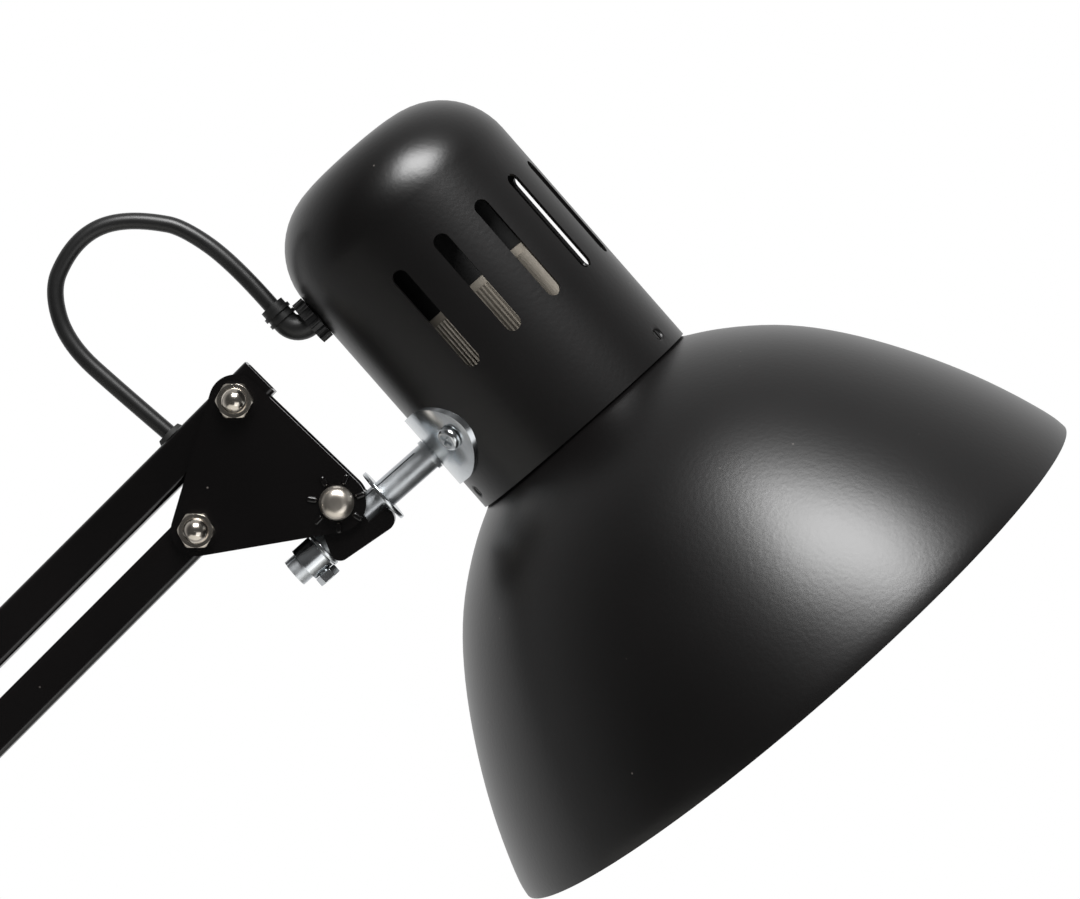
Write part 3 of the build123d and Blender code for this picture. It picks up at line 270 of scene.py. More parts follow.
def plated(name, colour, gloss, ripple):
    """A plated metal: crystalline mottling in colour and gloss, and slight ripples from rolling."""
    made, tree, shader, where = blank(name)
    mottle = node(tree, NOISE, {"Vector": where, "Scale": 1 / PLATE_SPANGLE, "Detail": 5.0})
    tone = node(tree, RAMP, {"Fac": mottle.outputs["Fac"]},
                [(0.3, scaled(colour, 0.91)), (0.7, scaled(colour, 1.03))])
    rough = node(tree, RAMP, {"Fac": mottle.outputs["Fac"]}, [(0.25, grey(gloss[0])), (0.75, grey(gloss[1]))])
    fine = node(tree, NOISE, {"Vector": where, "Scale": 1 / ROLLING_RIPPLE, "Detail": 2.0})
    bump = node(tree, BUMP, {"Height": fine.outputs["Fac"], "Strength": ripple, "Distance": RELIEF})
    feed(tree, shader, {"Base Color": tone.outputs["Color"], "Roughness": rough.outputs["Color"],
                        "Normal": bump.outputs["Normal"], "Metallic": 1.0})
    return made


def moulded(name, colour, gloss, grain):
    """A moulded plastic or rubber: fine spark-eroded grain, a little uneven in gloss."""
    made, tree, shader, where = blank(name)
    clouds = node(tree, NOISE, {"Vector": where, "Scale": 1 / MOULD_CLOUDS, "Detail": 3.0})
    tone = node(tree, RAMP, {"Fac": clouds.outputs["Fac"]},
                [(0.3, scaled(colour, 0.85)), (0.7, scaled(colour, 1.15))])
    rough = node(tree, RAMP, {"Fac": clouds.outputs["Fac"]}, [(0.2, grey(gloss[0])), (0.8, grey(gloss[1]))])
    texture = node(tree, NOISE, {"Vector": where, "Scale": 1 / grain, "Detail": 2.0})
    bump = node(tree, BUMP, {"Height": texture.outputs["Fac"], "Strength": 0.15, "Distance": RELIEF})
    feed(tree, shader, {"Base Color": tone.outputs["Color"], "Roughness": rough.outputs["Color"],
                        "Normal": bump.outputs["Normal"]})
    return made


def laminate():
    """Table top of pale melamine board: even, matt, faintly cloudy."""
    made, tree, shader, where = blank("pale_laminate")
    table = colours().table
    clouds = node(tree, NOISE, {"Vector": where, "Scale": 1 / LAMINATE_CLOUDS, "Detail": 4.0})
    tone = node(tree, RAMP, {"Fac": clouds.outputs["Fac"]}, [(0.3, scaled(table, 0.97)), (0.7, table)])
    feed(tree, shader, {"Base Color": tone.outputs["Color"], "Roughness": 0.55})
    return made


FINISH = {}


def make_finishes():
    """One material for each finish; gloss is the range of its roughness."""
    colour = colours()
    # Shade, cap and base: broad soft highlights
    FINISH["black_powder_coat"] = powder_coat("satin_black_powder_coat", gloss=(0.31, 0.36))
    # Bars, plates and knuckle: deeper black faces and sharper edges
    FINISH["smooth_coat"] = powder_coat("smooth_black_powder_coat", gloss=(0.19, 0.24))
    # Bracket, washers, collar, bolts and screws: cool and bright
    FINISH["zinc_plated_steel"] = plated("bright_zinc_plate", colour.zinc, gloss=(0.17, 0.25), ripple=0.06)
    # Rod: the same zinc, duller from rolling, and its colour painted paler as a painted highlight for the light
    # that it catches
    FINISH["rolled_zinc_painted_paler"] = plated(
        "zinc_plate_rolled_and_painted_paler", scaled(colour.zinc, 1.08), gloss=(0.36, 0.46), ripple=0.10)
    # Acorn nuts: a warm mirror that shows the dark and bright of the room
    FINISH["nickel_plate"] = plated("polished_nickel_plate", colour.nickel, gloss=(0.14, 0.22), ripple=0.03)
    # Tilt bolt: the same nickel with a wide soft spot of light
    FINISH["satin_nickel"] = plated("satin_nickel_plate", colour.nickel, gloss=(0.28, 0.36), ripple=0.04)
    # Springs: darker wire with short glints
    FINISH["spring_wire"] = plated(
        "drawn_spring_steel", scaled(colour.zinc, 0.75), gloss=(0.25, 0.40), ripple=0.08)
    # Contacts and plug pins: yellow with a soft sheen
    FINISH["brass"] = plated("stamped_brass", linear("#d0a85f"), gloss=(0.22, 0.36), ripple=0.05)
    # Cord: black with a line of light along it
    FINISH["black_pvc"] = moulded("extruded_black_pvc", colour.cord, gloss=(0.34, 0.44), grain=1.4 * MM)
    # Grommets and pad: dull black
    FINISH["black_rubber"] = moulded(
        "moulded_black_rubber", linear("#141413"), gloss=(0.65, 0.80), grain=0.8 * MM)
    # Gland, switch, tie and plug: black with a fine even grain
    FINISH["black_plastic"] = moulded(
        "moulded_black_abs", linear("#131313"), gloss=(0.36, 0.48), grain=0.6 * MM)
    # Socket: warm grey and matt
    FINISH["grey_socket"] = moulded(
        "moulded_grey_phenolic", colour.socket, gloss=(0.50, 0.62), grain=0.9 * MM)
    # Socket's cap: matt black that shows as darkness in the slots
    FINISH["black_phenolic"] = moulded(
        "moulded_black_phenolic", linear("#050505"), gloss=(0.60, 0.72), grain=0.9 * MM)
    # Inside of the shade: bright and even
    FINISH["white_lining"] = enamel_lining()


# Modelling helpers


def select_only(piece):
    bpy.ops.object.select_all(action="DESELECT")
    piece.select_set(True)
    bpy.context.view_layer.objects.active = piece


def active(name):
    piece = bpy.context.active_object
    piece.name = name
    piece.data.name = name
    return piece


def edit_points(piece, wanted):
    """Opens a piece in edit mode with the points selected whose place passes a test."""
    select_only(piece)
    bpy.ops.object.mode_set(mode="EDIT")
    bpy.ops.mesh.select_mode(type="VERT")
    bpy.ops.mesh.select_all(action="DESELECT")
    bpy.ops.object.mode_set(mode="OBJECT")
    for vertex in piece.data.vertices:
        vertex.select = wanted(vertex.co)
    bpy.ops.object.mode_set(mode="EDIT")


def lathe(name, profile, segments, closed=False):
    """A skin turned about Z: a ring is drawn out from station to station of (radius, height)."""
    bpy.ops.object.select_all(action="DESELECT")
    radius, height = profile[0]
    bpy.ops.mesh.primitive_circle_add(vertices=segments, radius=radius, location=(0, 0, height))
    piece = active(name)
    bpy.ops.object.transform_apply(location=True, rotation=False, scale=False)
    bpy.ops.object.mode_set(mode="EDIT")
    bpy.ops.mesh.select_all(action="SELECT")
    for next_radius, next_height in profile[1:]:
        bpy.ops.mesh.extrude_edges_move(TRANSFORM_OT_translate={"value": (0, 0, next_height - height)})
        if next_radius == 0:
            bpy.ops.mesh.merge(type="COLLAPSE")
        else:
            grow = next_radius / radius
            bpy.ops.transform.resize(value=(grow, grow, 1), center_override=(0, 0, next_height))
        radius, height = next_radius, next_height
    bpy.ops.mesh.select_all(action="SELECT")
    if closed:
        bpy.ops.mesh.fill_holes(sides=0)
        bpy.ops.mesh.select_all(action="SELECT")
    bpy.ops.mesh.normals_make_consistent(inside=False)
    bpy.ops.object.mode_set(mode="OBJECT")
    return piece


def modify(piece, kind, **settings):
    """Adds a modifier and applies it."""
    select_only(piece)
    modifier = piece.modifiers.new(kind.lower(), kind)
    for name, value in settings.items():
        setattr(modifier, name, value)
    bpy.ops.object.modifier_apply(modifier=modifier.name)


def place(piece, matrix):
    """Puts a piece where a matrix says, with its place in its mesh."""
    select_only(piece)
    piece.matrix_world = matrix
    bpy.ops.object.transform_apply(location=True, rotation=True, scale=True)


def around(angle, height, distance):
    """Matrix that faces outwards from the lamp's axis, with X up the axis."""
    out = Vector((math.cos(math.radians(angle)), math.sin(math.radians(angle)), 0))
    up = Vector((0, 0, 1))
    turn = Matrix((up, out.cross(up), out)).transposed().to_4x4()
    return Matrix.Translation(out * distance + up * height) @ turn


def dress(piece, slot, body=None, *nodes):
    """Gives a piece its finish, hides the solids that it stands for, and puts it on the body that it rides on."""
    if not piece.data.materials:
        piece.data.materials.append(FINISH[slot])
    if nodes:
        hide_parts(*nodes)
    if body:
        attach(piece, body)


# Cord


def route_curve(name, points):
    """A smooth line with the route's points as its control points."""
    curve = bpy.data.curves.new(name, "CURVE")
    curve.dimensions = "3D"
    curve.resolution_u = CORD_RESOLUTION
    spline = curve.splines.new("NURBS")
    spline.points.add(len(points) - 1)
    for control, point in zip(spline.points, points):
        control.co = (*point, 1)
    spline.order_u = 3
    spline.use_endpoint_u = True
    piece = bpy.data.objects.new(name, curve)
    bpy.context.collection.objects.link(piece)
    return piece


def centreline(piece):
    """Points along a curve that has no bevel yet."""
    line = bpy.data.meshes.new_from_object(piece)
    points = [vertex.co.copy() for vertex in line.vertices]
    bpy.data.meshes.remove(line)
    return points


def round_off(piece, radius, roundness=CORD_ROUNDNESS):
    """Gives a curve its round section."""
    piece.data.bevel_depth = radius
    piece.data.bevel_resolution = roundness
    piece.data.use_fill_caps = True


def tube(piece, radius, roundness=CORD_ROUNDNESS):
    """Turns a curve into a mesh tube and returns the line that it follows."""
    line = centreline(piece)
    round_off(piece, radius, roundness)
    select_only(piece)
    bpy.ops.object.convert(target="MESH")
    bpy.ops.object.shade_smooth()
    return line


def loop_of_cord(name, route, splits, node_name):
    """A loop of cord across joints: stretches that meet on the route's runs."""
    points = [Vector((x, 0, z)) * MM for x, z in route]
    stretches = []
    start = []
    first = 0
    for split in splits:
        run = int(split)
        meeting = points[run].lerp(points[run + 1], split - run)
        stretches.append(start + points[first:run + 1] + [meeting])
        start = [meeting]
        first = run + 1
    stretches.append(start + points[first:])
    for index, stretch in enumerate(stretches):
        piece = route_curve(f"{name}_{index + 1}", stretch)
        line = tube(piece, sizes().cord_diameter / 2)
        replaced = [node_name] if index == 0 else []
        dress(piece, "black_pvc", None, *replaced)
        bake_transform(piece)


class LAMP_OT_head_cord(bpy.types.Operator):
    """Loop of cord from the gland on the cap to the upper arm"""

    bl_idname = "lamp.head_cord"
    bl_label = "Head cord"

    def execute(self, context):
        loop_of_cord("head_cord", HEAD_ROUTE, HEAD_SPLITS, "cord_head")
        return {"FINISHED"}


class LAMP_OT_elbow_cord(bpy.types.Operator):
    """Loop of cord from the upper arm to the lower arm"""

    bl_idname = "lamp.elbow_cord"
    bl_label = "Elbow cord"

    def execute(self, context):
        loop_of_cord("elbow_cord", ELBOW_ROUTE, ELBOW_SPLITS, "cord_elbow")
        return {"FINISHED"}


class LAMP_OT_base_cord(bpy.types.Operator):
    """Loop of cord from the lower arm to the inline switch"""

    bl_idname = "lamp.base_cord"
    bl_label = "Base cord"

    def execute(self, context):
        loop_of_cord("base_cord", BASE_ROUTE, BASE_SPLITS, "cord_base")
        return {"FINISHED"}


def coil_point(turns):
    """Cord's line in the coil: it spirals in, climbs a layer in half a turn and spirals out."""
    top = COIL_LOW + COIL_STEP
    if turns <= COIL_DOWN_TURNS:
        radius, height = COIL_R - COIL_STEP * turns, COIL_LOW
    elif turns <= COIL_DOWN_TURNS + COIL_CLIMB:
        part = turns - COIL_DOWN_TURNS
        share = part / COIL_CLIMB
        radius = COIL_R - COIL_STEP * (COIL_DOWN_TURNS + part - part ** 2 / COIL_CLIMB)
        height = COIL_LOW + COIL_STEP * share ** 2 * (3 - 2 * share)
    else:
        radius, height = COIL_R - COIL_STEP * (2 * COIL_DOWN_TURNS + COIL_CLIMB - turns), top
    angle = math.pi + 2 * math.pi * turns
    radius /= math.cos(math.pi / COIL_POINTS)
    return (COIL_CENTRE[0] + radius * math.cos(angle), COIL_CENTRE[1] + radius * math.sin(angle), height)


class LAMP_OT_mains_cord(bpy.types.Operator):
    """Cord from the switch into its tied coil and on to the plug"""

    bl_idname = "lamp.mains_cord"
    bl_label = "Mains cord"

    def execute(self, context):
        steps = int(COIL_TURNS * COIL_POINTS)
        route = TAIL_ROUTE + [coil_point(index / COIL_POINTS) for index in range(steps + 1)]
        route.append(PLUG_NOSE)
        piece = route_curve("mains_cord", [Vector(point) * MM for point in route])
        line = centreline(piece)
        round_off(piece, sizes().cord_diameter / 2)
        dress(piece, "black_pvc", "clamp", "cord_tail", "cord_coil")
        return {"FINISHED"}


class LAMP_OT_bar_cords(bpy.types.Operator):
    """Stretches of cord inside the hollow bars"""

    bl_idname = "lamp.bar_cords"
    bl_label = "Cords in the bars"

    def execute(self, context):
        runs = (
            ("upper_bar_cord", "elbow", "head_level", UPPER_GROMMETS, "upper_bar_top", "cord_upper_run"),
            ("lower_bar_cord", "shoulder", "elbow_level", LOWER_GROMMETS, "lower_bar_rear", "cord_lower_run"))
        for name, first, last, grommets, body, node_name in runs:
            start = PIVOT[first]
            way = (PIVOT[last] - start).normalized()
            points = [start + way * at for at in (grommets[0], sum(grommets) / 2, grommets[1])]
            piece = route_curve(name, points)
            line = centreline(piece)
            round_off(piece, sizes().cord_diameter / 2)
            dress(piece, "black_pvc", body, node_name)
        return {"FINISHED"}


# Springs


def spring_points(length):
    """Control points of a stretched spring along Z, with a half-round hook at each end."""
    coil = SPRING_PITCH * SPRING_TURNS
    leg = (length - coil) / 2 - SPRING_BLEND
    hook = [math.pi * step / HOOK_STEPS for step in range(HOOK_STEPS + 1)]
    points = [Vector((-SPRING_R * math.cos(angle), 0, -SPRING_R * math.sin(angle))) for angle in hook]
    points.append(Vector((SPRING_R, 0, leg * SPRING_KNEE)))
    turns = SPRING_TURNS + 2 * SPRING_LEAD
    steps = int(turns * SPRING_STEPS)
    for index in range(steps + 1):
        turn = turns * index / steps
        lead_in = min(turn / SPRING_LEAD, 1)
        lead_out = max(turn - SPRING_TURNS - SPRING_LEAD, 0) / SPRING_LEAD
        wound = min(max(turn - SPRING_LEAD, 0), SPRING_TURNS)
        height = leg + (lead_in + lead_out) * SPRING_BLEND + wound * SPRING_PITCH
        angle = 2 * math.pi * turn
        points.append(Vector((SPRING_R * math.cos(angle), SPRING_R * math.sin(angle), height)))
    points.append(Vector((SPRING_R, 0, length - leg * SPRING_KNEE)))
    points += [Vector((SPRING_R * math.cos(angle), 0, length + SPRING_R * math.sin(angle))) for angle in hook]
    return points


def spring_pair(name, first, second, node_name):
    """The near and far spring of an arm, which stretch between two bodies."""
    span = second - first
    way = span.normalized()
    across = Vector((-way.z, 0, way.x))
    side = way.cross(across)
    made = []
    for label, y in (("far", 1), ("near", -1)):
        points = []
        for point in spring_points(span.length):
            spot = first + across * point.x + side * point.y + way * point.z
            points.append(Vector((spot.x, y * (spot.y + SPRING_Y), spot.z)))
        piece = route_curve(f"{name}_{label}", points)
        piece.data.resolution_u = SPRING_RESOLUTION
        tube(piece, sizes().spring_wire / 2, WIRE_ROUNDNESS)
        made.append(piece)
    select_only(made[0])
    made[1].select_set(True)
    bpy.ops.object.join()
    pair = active(name)
    dress(pair, "spring_wire", None, node_name)
    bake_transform(pair)


class LAMP_OT_springs(bpy.types.Operator):
    """Counterbalance springs on both arms"""

    bl_idname = "lamp.springs"
    bl_label = "Springs"

    def execute(self, context):
        lower_way = (PIVOT["elbow_level"] - PIVOT["shoulder"]).normalized()
        upper_way = (PIVOT["head_level"] - PIVOT["elbow"]).normalized()
        spring_pair("lower_arm_springs", FORK_HOOK, PIVOT["shoulder_front"] + lower_way * SPRING_AT,
                    "lower_springs")
        spring_pair("upper_arm_springs", ELBOW_HOOK, PIVOT["elbow_low"] + upper_way * SPRING_AT,
                    "upper_springs")
        return {"FINISHED"}


# Lamp head

# Shade in millimetres, as (radius, distance from the cap's rim): first its neck, which goes up into the cap
SHADE_PROFILE = [(21.5, 8.6), (24.0, 8.6), (28.6, 8.6), (29.9, 7.4), (30.0, 4.0), (30.0, 1.2), (30.6, 0.0),
                 (33.4, 1.35), (39.5, 4.8), (49.8, 12.4), (58.5, 21.7), (66.8, 33.5), (74.5, 47.0),
                 (80.2, 59.3), (84.4, 71.0), (85.0, 74.2), (85.1, 75.4)]
NECK_STATIONS = 6
SHADE_SEGMENTS = 48
SHADE_LEVELS = 2
SHADE_CREASE = math.radians(50)
# Cap: a cylinder whose upper edge is a quarter round; places about its axis are in degrees
CAP_R = 31.4 * MM
CAP_STATIONS = [height * MM for height in (0.35, 8.0, 16.0, 24.0, 60.0)]
CAP_LENGTH = 84.5 * MM
CAP_CORNER = 19.0 * MM
CAP_CORNER_STEPS = 14
CAP_TOP_RINGS = (7.0 * MM, 2.5 * MM, 0.0)
CAP_SEGMENTS = 176
CAP_EDGE = 0.16 * MM
CAP_EDGE_ANGLE = math.radians(55)
CAP_CREASE = math.radians(38)
SLOT_COUNT = 10
SLOT_MIDDLE = 175.5
SLOT_STEP = 23.4
SLOT_LENGTH = 28.3 * MM
SLOT_WIDTH = 4.0 * MM
SLOT_HEIGHT = 41.15 * MM
SLOT_CUT = 8.0 * MM
SLOT_SIDES = 32
RIM_SCREWS = (16.0, 146.0, 266.0)
RIM_SCREW_HEIGHT = 4.6 * MM
DIMPLE = [(1.25 * MM, -4.0 * MM), (1.25 * MM, -0.5 * MM), (1.5 * MM, -0.3 * MM), (2.3 * MM, 0.25 * MM),
          (2.3 * MM, 2.0 * MM)]
DIMPLE_SEGMENTS = 24


class LAMP_OT_shade(bpy.types.Operator):
    """Bell-shaped shade, black outside and white inside"""

    bl_idname = "lamp.shade"
    bl_label = "Shade"

    def execute(self, context):
        profile = []
        for index, (radius, depth) in enumerate(SHADE_PROFILE):
            height = depth if index < NECK_STATIONS else -depth
            profile.append((radius * MM, height * MM))
        piece = lathe("bell_shade", profile, SHADE_SEGMENTS)
        piece.data.materials.append(FINISH["black_powder_coat"])
        piece.data.materials.append(FINISH["white_lining"])
        modify(piece, "SUBSURF", levels=SHADE_LEVELS, render_levels=SHADE_LEVELS)
        modify(piece, "SOLIDIFY", thickness=sizes().sheet, offset=-1.0, material_offset=1,
               use_even_offset=True)
        bpy.ops.object.shade_smooth_by_angle(angle=SHADE_CREASE)
        place(piece, HEAD)
        dress(piece, "black_powder_coat", "head", "shade")
        return {"FINISHED"}


def slot_cutter(length, width, depth):
    """A block with half-round ends that cuts a slot: its X is the slot's length."""
    bpy.ops.object.select_all(action="DESELECT")
    bpy.ops.mesh.primitive_circle_add(vertices=SLOT_SIDES, radius=width / 2, fill_type="NGON",
                                      rotation=(0, 0, math.pi / SLOT_SIDES))
    cutter = active("slot_cutter")
    bpy.ops.object.transform_apply(location=False, rotation=True, scale=False)
    for way in (-1, 1):
        edit_points(cutter, lambda co: co.x * way > 0)
        bpy.ops.transform.translate(value=(way * (length - width) / 2, 0, 0))
        bpy.ops.object.mode_set(mode="OBJECT")
    bpy.ops.object.mode_set(mode="EDIT")
    bpy.ops.mesh.select_all(action="SELECT")
    bpy.ops.mesh.extrude_region_move(TRANSFORM_OT_translate={"value": (0, 0, depth)})
    bpy.ops.mesh.select_all(action="SELECT")
    bpy.ops.mesh.normals_make_consistent(inside=False)
    bpy.ops.object.mode_set(mode="OBJECT")
    return cutter


def cut_away(piece, cutters):
    """Joins several blocks and cuts them out of a piece."""
    select_only(cutters[0])
    for cutter in cutters[1:]:
        cutter.select_set(True)
    bpy.ops.object.join()
    block = bpy.context.active_object
    modify(piece, "BOOLEAN", object=block, operation="DIFFERENCE", solver="EXACT")
    bpy.data.objects.remove(block)


class LAMP_OT_cap(bpy.types.Operator):
    """Slotted cap over the socket"""

    bl_idname = "lamp.cap"
    bl_label = "Cap"

    def execute(self, context):
        profile = [(CAP_R, height) for height in CAP_STATIONS]
        centre = (CAP_R - CAP_CORNER, CAP_LENGTH - CAP_CORNER)
        for index in range(CAP_CORNER_STEPS + 1):
            angle = math.pi / 2 * index / CAP_CORNER_STEPS
            radius = centre[0] + CAP_CORNER * math.cos(angle)
            profile.append((radius, centre[1] + CAP_CORNER * math.sin(angle)))
        profile += [(radius, CAP_LENGTH) for radius in CAP_TOP_RINGS]
        piece = lathe("slotted_cap", profile, CAP_SEGMENTS)
        modify(piece, "SOLIDIFY", thickness=sizes().sheet, offset=-1.0, use_even_offset=True)
        cutters = []
        for index in range(SLOT_COUNT):
            angle = SLOT_MIDDLE + SLOT_STEP * (index - (SLOT_COUNT - 1) / 2)
            cutter = slot_cutter(SLOT_LENGTH, SLOT_WIDTH, SLOT_CUT)
            place(cutter, around(angle, SLOT_HEIGHT, CAP_R - SLOT_CUT / 2))
            cutters.append(cutter)
        for angle in RIM_SCREWS:
            cutter = lathe("dimple_cutter", DIMPLE, DIMPLE_SEGMENTS, closed=True)
            place(cutter, around(angle, RIM_SCREW_HEIGHT, CAP_R))
            cutters.append(cutter)
        cut_away(piece, cutters)
        modify(piece, "BEVEL", width=CAP_EDGE, segments=2, limit_method="ANGLE", angle_limit=CAP_EDGE_ANGLE)
        bpy.ops.object.shade_smooth_by_angle(angle=CAP_CREASE)
        modify(piece, "WEIGHTED_NORMAL", keep_sharp=True)
        place(piece, HEAD)
        dress(piece, "black_powder_coat", "head", "cap")
        return {"FINISHED"}


# Solids that keep their shape, and those that only get their edges broken

MERGE = 0.004 * MM
FLAT = math.radians(0.4)
SHARP = math.radians(40)
SMOOTH_COATED = ("upper_bar_top", "upper_bar_low", "lower_bar_rear", "lower_bar_front", "head_plate_near",
                 "head_plate_far", "elbow_plate_near", "elbow_plate_far", "knuckle_block")
# Finishes that differ from what a solid's slot says
OWN_FINISH = {"tilt_bolt": "satin_nickel", "head_rod": "rolled_zinc_painted_paler", "socket_cap": "black_phenolic",
              **dict.fromkeys(SMOOTH_COATED, "smooth_coat")}
# Width in millimetres of the broken edges, by group of pieces
EASED = {
    "plates": {"head_plate_near": 0.25, "head_plate_far": 0.25, "elbow_plate_near": 0.3,
               "elbow_plate_far": 0.3},
    "bracket": {"saddle_bracket": 0.3, "saddle_screws": 0.1},
    "knuckle": {"knuckle_block": 0.6, "knuckle_washers": 0.2, "rod_collar": 0.3, "collar_screw": 0.2,
                "head_rod": 0.1},
    "fasteners": {"head_acorn_nuts": 0.12, "elbow_acorn_nuts": 0.12, "base_acorn_nuts": 0.12,
                  "tilt_wing_nut": 0.4, "post_thumb_screw": 0.3},
    "base": {"base_fork": 0.4, "clamp_frame": 0.8, "thrust_washer": 0.15, "clamp_pad": 0.3,
             "clamp_screw": 0.3},
    "switch": {"switch_lower_shell": 0.3, "switch_upper_shell": 0.3, "switch_rocker": 0.4, "coil_tie": 0.2},
}


def ease(group):
    """Copies the solids of a group with their sharp edges broken, as a press or a tumbler leaves them."""
    for name, width in EASED[group].items():
        piece = bpy.data.objects.new(f"{name}_eased", NODES[name].data.copy())
        bpy.context.collection.objects.link(piece)
        select_only(piece)
        bpy.ops.object.mode_set(mode="EDIT")
        bpy.ops.mesh.select_all(action="SELECT")
        bpy.ops.mesh.remove_doubles(threshold=MERGE)
        bpy.ops.mesh.dissolve_limited(angle_limit=FLAT)
        bpy.ops.object.mode_set(mode="OBJECT")
        modify(piece, "BEVEL", width=width * MM, segments=2, limit_method="ANGLE", angle_limit=SHARP)
        bpy.ops.object.shade_smooth_by_angle(angle=SHARP)
        modify(piece, "WEIGHTED_NORMAL", keep_sharp=True)
        dress(piece, SLOT_OF[name], BODY_OF[name], name)


class LAMP_OT_plates(bpy.types.Operator):
    """Pressed plates of the head and the elbow"""

    bl_idname = "lamp.plates"
    bl_label = "Plates"

    def execute(self, context):
        ease("plates")
        return {"FINISHED"}


class LAMP_OT_bracket(bpy.types.Operator):
    """Saddle bracket on the cap and its screws"""

    bl_idname = "lamp.bracket"
    bl_label = "Saddle bracket"

    def execute(self, context):
        ease("bracket")
        return {"FINISHED"}


class LAMP_OT_knuckle(bpy.types.Operator):
    """Knuckle block with its washers, the rod and its collar"""

    bl_idname = "lamp.knuckle"
    bl_label = "Knuckle"

    def execute(self, context):
        ease("knuckle")
        return {"FINISHED"}


class LAMP_OT_fasteners(bpy.types.Operator):
    """Acorn nuts, wing nut and thumb screw"""

    bl_idname = "lamp.fasteners"
    bl_label = "Fasteners"

    def execute(self, context):
        ease("fasteners")
        return {"FINISHED"}


class LAMP_OT_base(bpy.types.Operator):
    """Fork, clamp frame, clamp screw and pad"""

    bl_idname = "lamp.base"
    bl_label = "Base"

    def execute(self, context):
        ease("base")
        return {"FINISHED"}


class LAMP_OT_switch(bpy.types.Operator):
    """Inline switch, its rocker and the coil's tie"""

    bl_idname = "lamp.switch"
    bl_label = "Switch"

    def execute(self, context):
        ease("switch")
        return {"FINISHED"}


class LAMP_OT_solid_finishes(bpy.types.Operator):
    """Finishes on the solids whose shape stays as it is"""

    bl_idname = "lamp.solid_finishes"
    bl_label = "Finishes on solids"

    def execute(self, context):
        for name, solid in NODES.items():
            solid.data.materials.clear()
            solid.data.materials.append(FINISH[OWN_FINISH.get(name, SLOT_OF[name])])
        return {"FINISHED"}


# Stage

PICTURE_MIDDLE = Vector((196.6, 0, 672.2)) * MM
SENSOR = 36.0
NEAR_CLIP = 10.0 * MM
TABLE_MIDDLE = (0.0, -0.43)
TABLE_SIZE = (1.3, 0.897)
TABLE_GAP = 0.1 * MM
TABLE_EDGE = 1.5 * MM
KEY_PLACE = Vector((0.26, -0.78, 1.72))
KEY_AIM = Vector((0.265, -0.08, 0.646))
KEY_SIZE = (0.72, 0.56)
LOW_CARD = Vector((0.49, -0.62, 0.28))
LOW_CARD_AIM = Vector((0.15, 0, 0.66))
LOW_CARD_SIZE = (0.55, 0.45)
LOW_CARD_POWER = 0.95
WHITE = (1, 1, 1, 1)
# Strength of the room in reflections, from behind the camera to behind the lamp, and the Ys of its fade
ROOM_FRONT = 0.05
ROOM_BACK = 0.85
ROOM_FADE = (-0.35, 0.9)
ROOM_AMBIENT = 0.7


def aim(thing, target):
    thing.rotation_euler = (target - thing.location).to_track_quat("-Z", "Y").to_euler()


def set_table():
    """Table top that stands in the clamp, under the lamp."""
    thick = sizes().table_thickness
    bpy.ops.object.select_all(action="DESELECT")
    bpy.ops.mesh.primitive_cube_add(size=1, location=(*TABLE_MIDDLE, -thick / 2 - TABLE_GAP))
    table = active("table_top")
    table.scale = (*TABLE_SIZE, thick)
    bpy.ops.object.transform_apply(location=True, rotation=True, scale=True)
    modify(table, "BEVEL", width=TABLE_EDGE, segments=3)
    table.data.materials.append(laminate())


def set_room(scene):
    """White surroundings: plain to the camera, shaded in reflections, and soft light for all else."""
    world = scene.world or bpy.data.worlds.new("studio")
    scene.world = world
    world.use_nodes = True
    tree = world.node_tree
    tree.nodes.clear()
    path = node(tree, "ShaderNodeLightPath", {})
    seen = node(tree, "ShaderNodeMath", {0: path.outputs["Is Camera Ray"],
                                         1: path.outputs["Is Transmission Ray"]}, operation="MAXIMUM")
    where = node(tree, "ShaderNodeTexCoord", {}).outputs["Generated"]
    way = node(tree, "ShaderNodeSeparateXYZ", {0: where})
    wall = node(tree, "ShaderNodeMapRange", {"Value": way.outputs["Y"],
                                             "From Min": ROOM_FADE[0], "From Max": ROOM_FADE[1],
                                             "To Min": ROOM_FRONT, "To Max": ROOM_BACK})
    ambient = node(tree, "ShaderNodeBackground", {"Color": WHITE, "Strength": ROOM_AMBIENT})
    room = node(tree, "ShaderNodeBackground", {"Color": WHITE, "Strength": wall.outputs[0]})
    backdrop = node(tree, "ShaderNodeBackground", {"Color": WHITE, "Strength": 1.0})
    light = node(tree, "ShaderNodeMixShader", {0: path.outputs["Is Glossy Ray"], 1: ambient.outputs[0],
                                               2: room.outputs[0]})
    mix = node(tree, "ShaderNodeMixShader", {0: seen.outputs[0], 1: light.outputs[0], 2: backdrop.outputs[0]})
    node(tree, "ShaderNodeOutputWorld", {"Surface": mix.outputs[0]})


def softbox(name, place_at, target, size, power):
    light = bpy.data.lights.new(name, "AREA")
    light.shape = "RECTANGLE"
    light.size, light.size_y = size
    light.energy = power
    lamp = bpy.data.objects.new(name, light)
    bpy.context.collection.objects.link(lamp)
    lamp.location = place_at
    lamp.visible_camera = False
    aim(lamp, target)


def set_camera(scene, view):
    """Camera that looks across the lamp, a little from the cap's end."""
    camera = bpy.data.objects.new("camera", bpy.data.cameras.new("camera"))
    bpy.context.collection.objects.link(camera)
    camera.data.lens = view.lens
    camera.data.sensor_width = SENSOR
    camera.data.clip_start = NEAR_CLIP
    side = math.sin(view.lean)
    turn = Vector((HEAD_Z.x * side, -math.cos(view.lean), HEAD_Z.z * side))
    camera.location = PICTURE_MIDDLE + turn * view.distance
    aim(camera, PICTURE_MIDDLE)
    scene.camera = camera
    scene.view_settings.view_transform = "Standard"


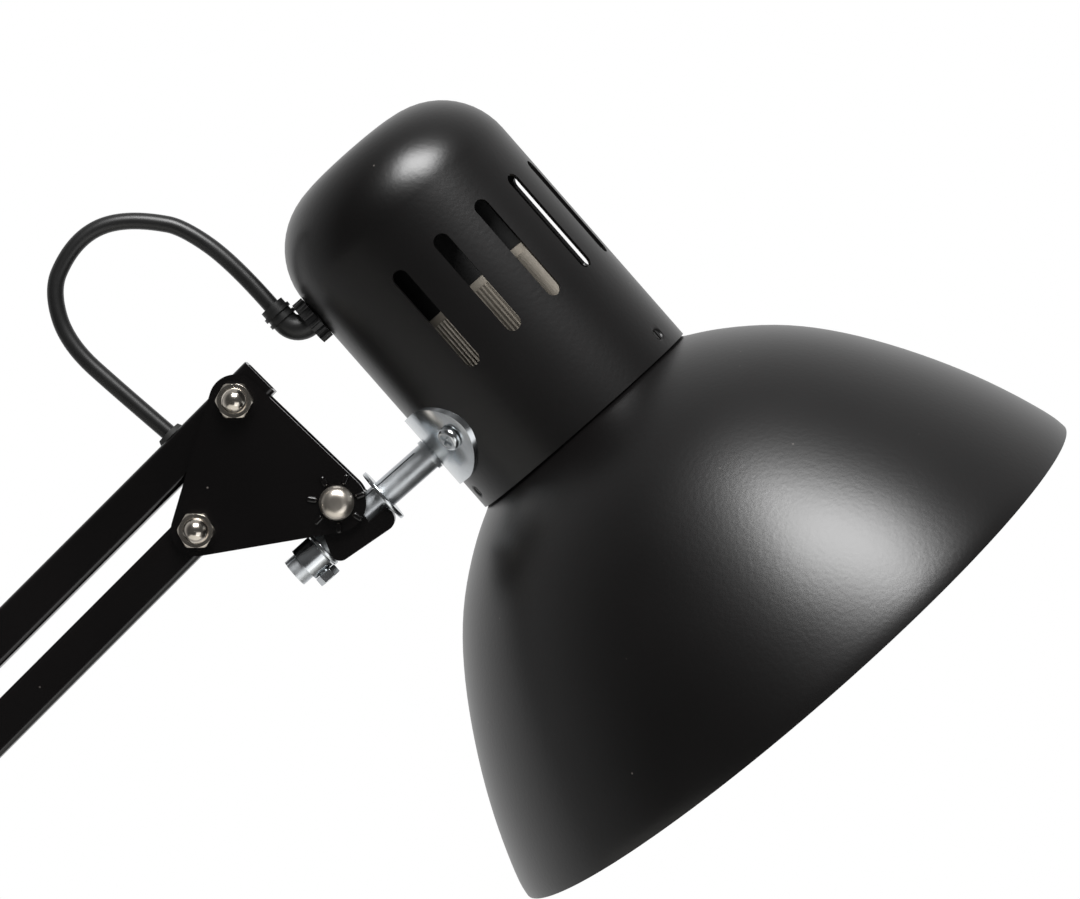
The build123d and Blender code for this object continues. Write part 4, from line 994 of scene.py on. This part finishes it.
class LAMP_OT_stage(bpy.types.Operator):
    """Table top in the clamp, white surroundings, soft light and the camera"""

    bl_idname = "lamp.stage"
    bl_label = "Stage"

    def execute(self, context):
        view = context.scene.lamp_view
        set_table()
        set_room(context.scene)
        softbox("key_softbox", KEY_PLACE, KEY_AIM, KEY_SIZE, view.key)
        softbox("low_card", LOW_CARD, LOW_CARD_AIM, LOW_CARD_SIZE, LOW_CARD_POWER)
        set_camera(context.scene, view)
        return {"FINISHED"}


class LAMP_PT_pieces(bpy.types.Panel):
    """Sidebar list of the lamp's pieces"""

    bl_idname = "LAMP_PT_pieces"
    bl_label = "Swing arm desk lamp"
    bl_space_type = "VIEW_3D"
    bl_region_type = "UI"
    bl_category = "Lamp"

    def draw(self, context):
        for group in (context.scene.lamp_sizes, context.scene.lamp_colours, context.scene.lamp_view):
            box = self.layout.box()
            for name in group.__annotations__:
                box.prop(group, name)
        for operator in OPERATORS:
            self.layout.operator(operator.bl_idname)


OPERATORS = (LAMP_OT_solid_finishes, LAMP_OT_head_cord, LAMP_OT_elbow_cord, LAMP_OT_base_cord,
             LAMP_OT_mains_cord, LAMP_OT_bar_cords, LAMP_OT_springs, LAMP_OT_shade, LAMP_OT_cap,
             LAMP_OT_plates, LAMP_OT_bracket, LAMP_OT_knuckle, LAMP_OT_fasteners, LAMP_OT_base,
             LAMP_OT_switch, LAMP_OT_stage)
GROUPS = {"lamp_sizes": LampSizes, "lamp_colours": LampColours, "lamp_view": LampView}


def register():
    for group in GROUPS.values():
        bpy.utils.register_class(group)
    for name, group in GROUPS.items():
        setattr(bpy.types.Scene, name, bpy.props.PointerProperty(type=group))
    for operator in OPERATORS:
        bpy.utils.register_class(operator)
    bpy.utils.register_class(LAMP_PT_pieces)


def unregister():
    bpy.utils.unregister_class(LAMP_PT_pieces)
    for operator in reversed(OPERATORS):
        bpy.utils.unregister_class(operator)
    for name, group in GROUPS.items():
        delattr(bpy.types.Scene, name)
        bpy.utils.unregister_class(group)


def main():
    register()
    make_finishes()
    bpy.ops.lamp.solid_finishes()
    bpy.ops.lamp.head_cord()
    bpy.ops.lamp.elbow_cord()
    bpy.ops.lamp.base_cord()
    bpy.ops.lamp.mains_cord()
    bpy.ops.lamp.bar_cords()
    bpy.ops.lamp.springs()
    bpy.ops.lamp.shade()
    bpy.ops.lamp.cap()
    bpy.ops.lamp.plates()
    bpy.ops.lamp.bracket()
    bpy.ops.lamp.knuckle()
    bpy.ops.lamp.fasteners()
    bpy.ops.lamp.base()
    bpy.ops.lamp.switch()
    bpy.ops.lamp.stage()


if __name__ == "__main__":
    main()
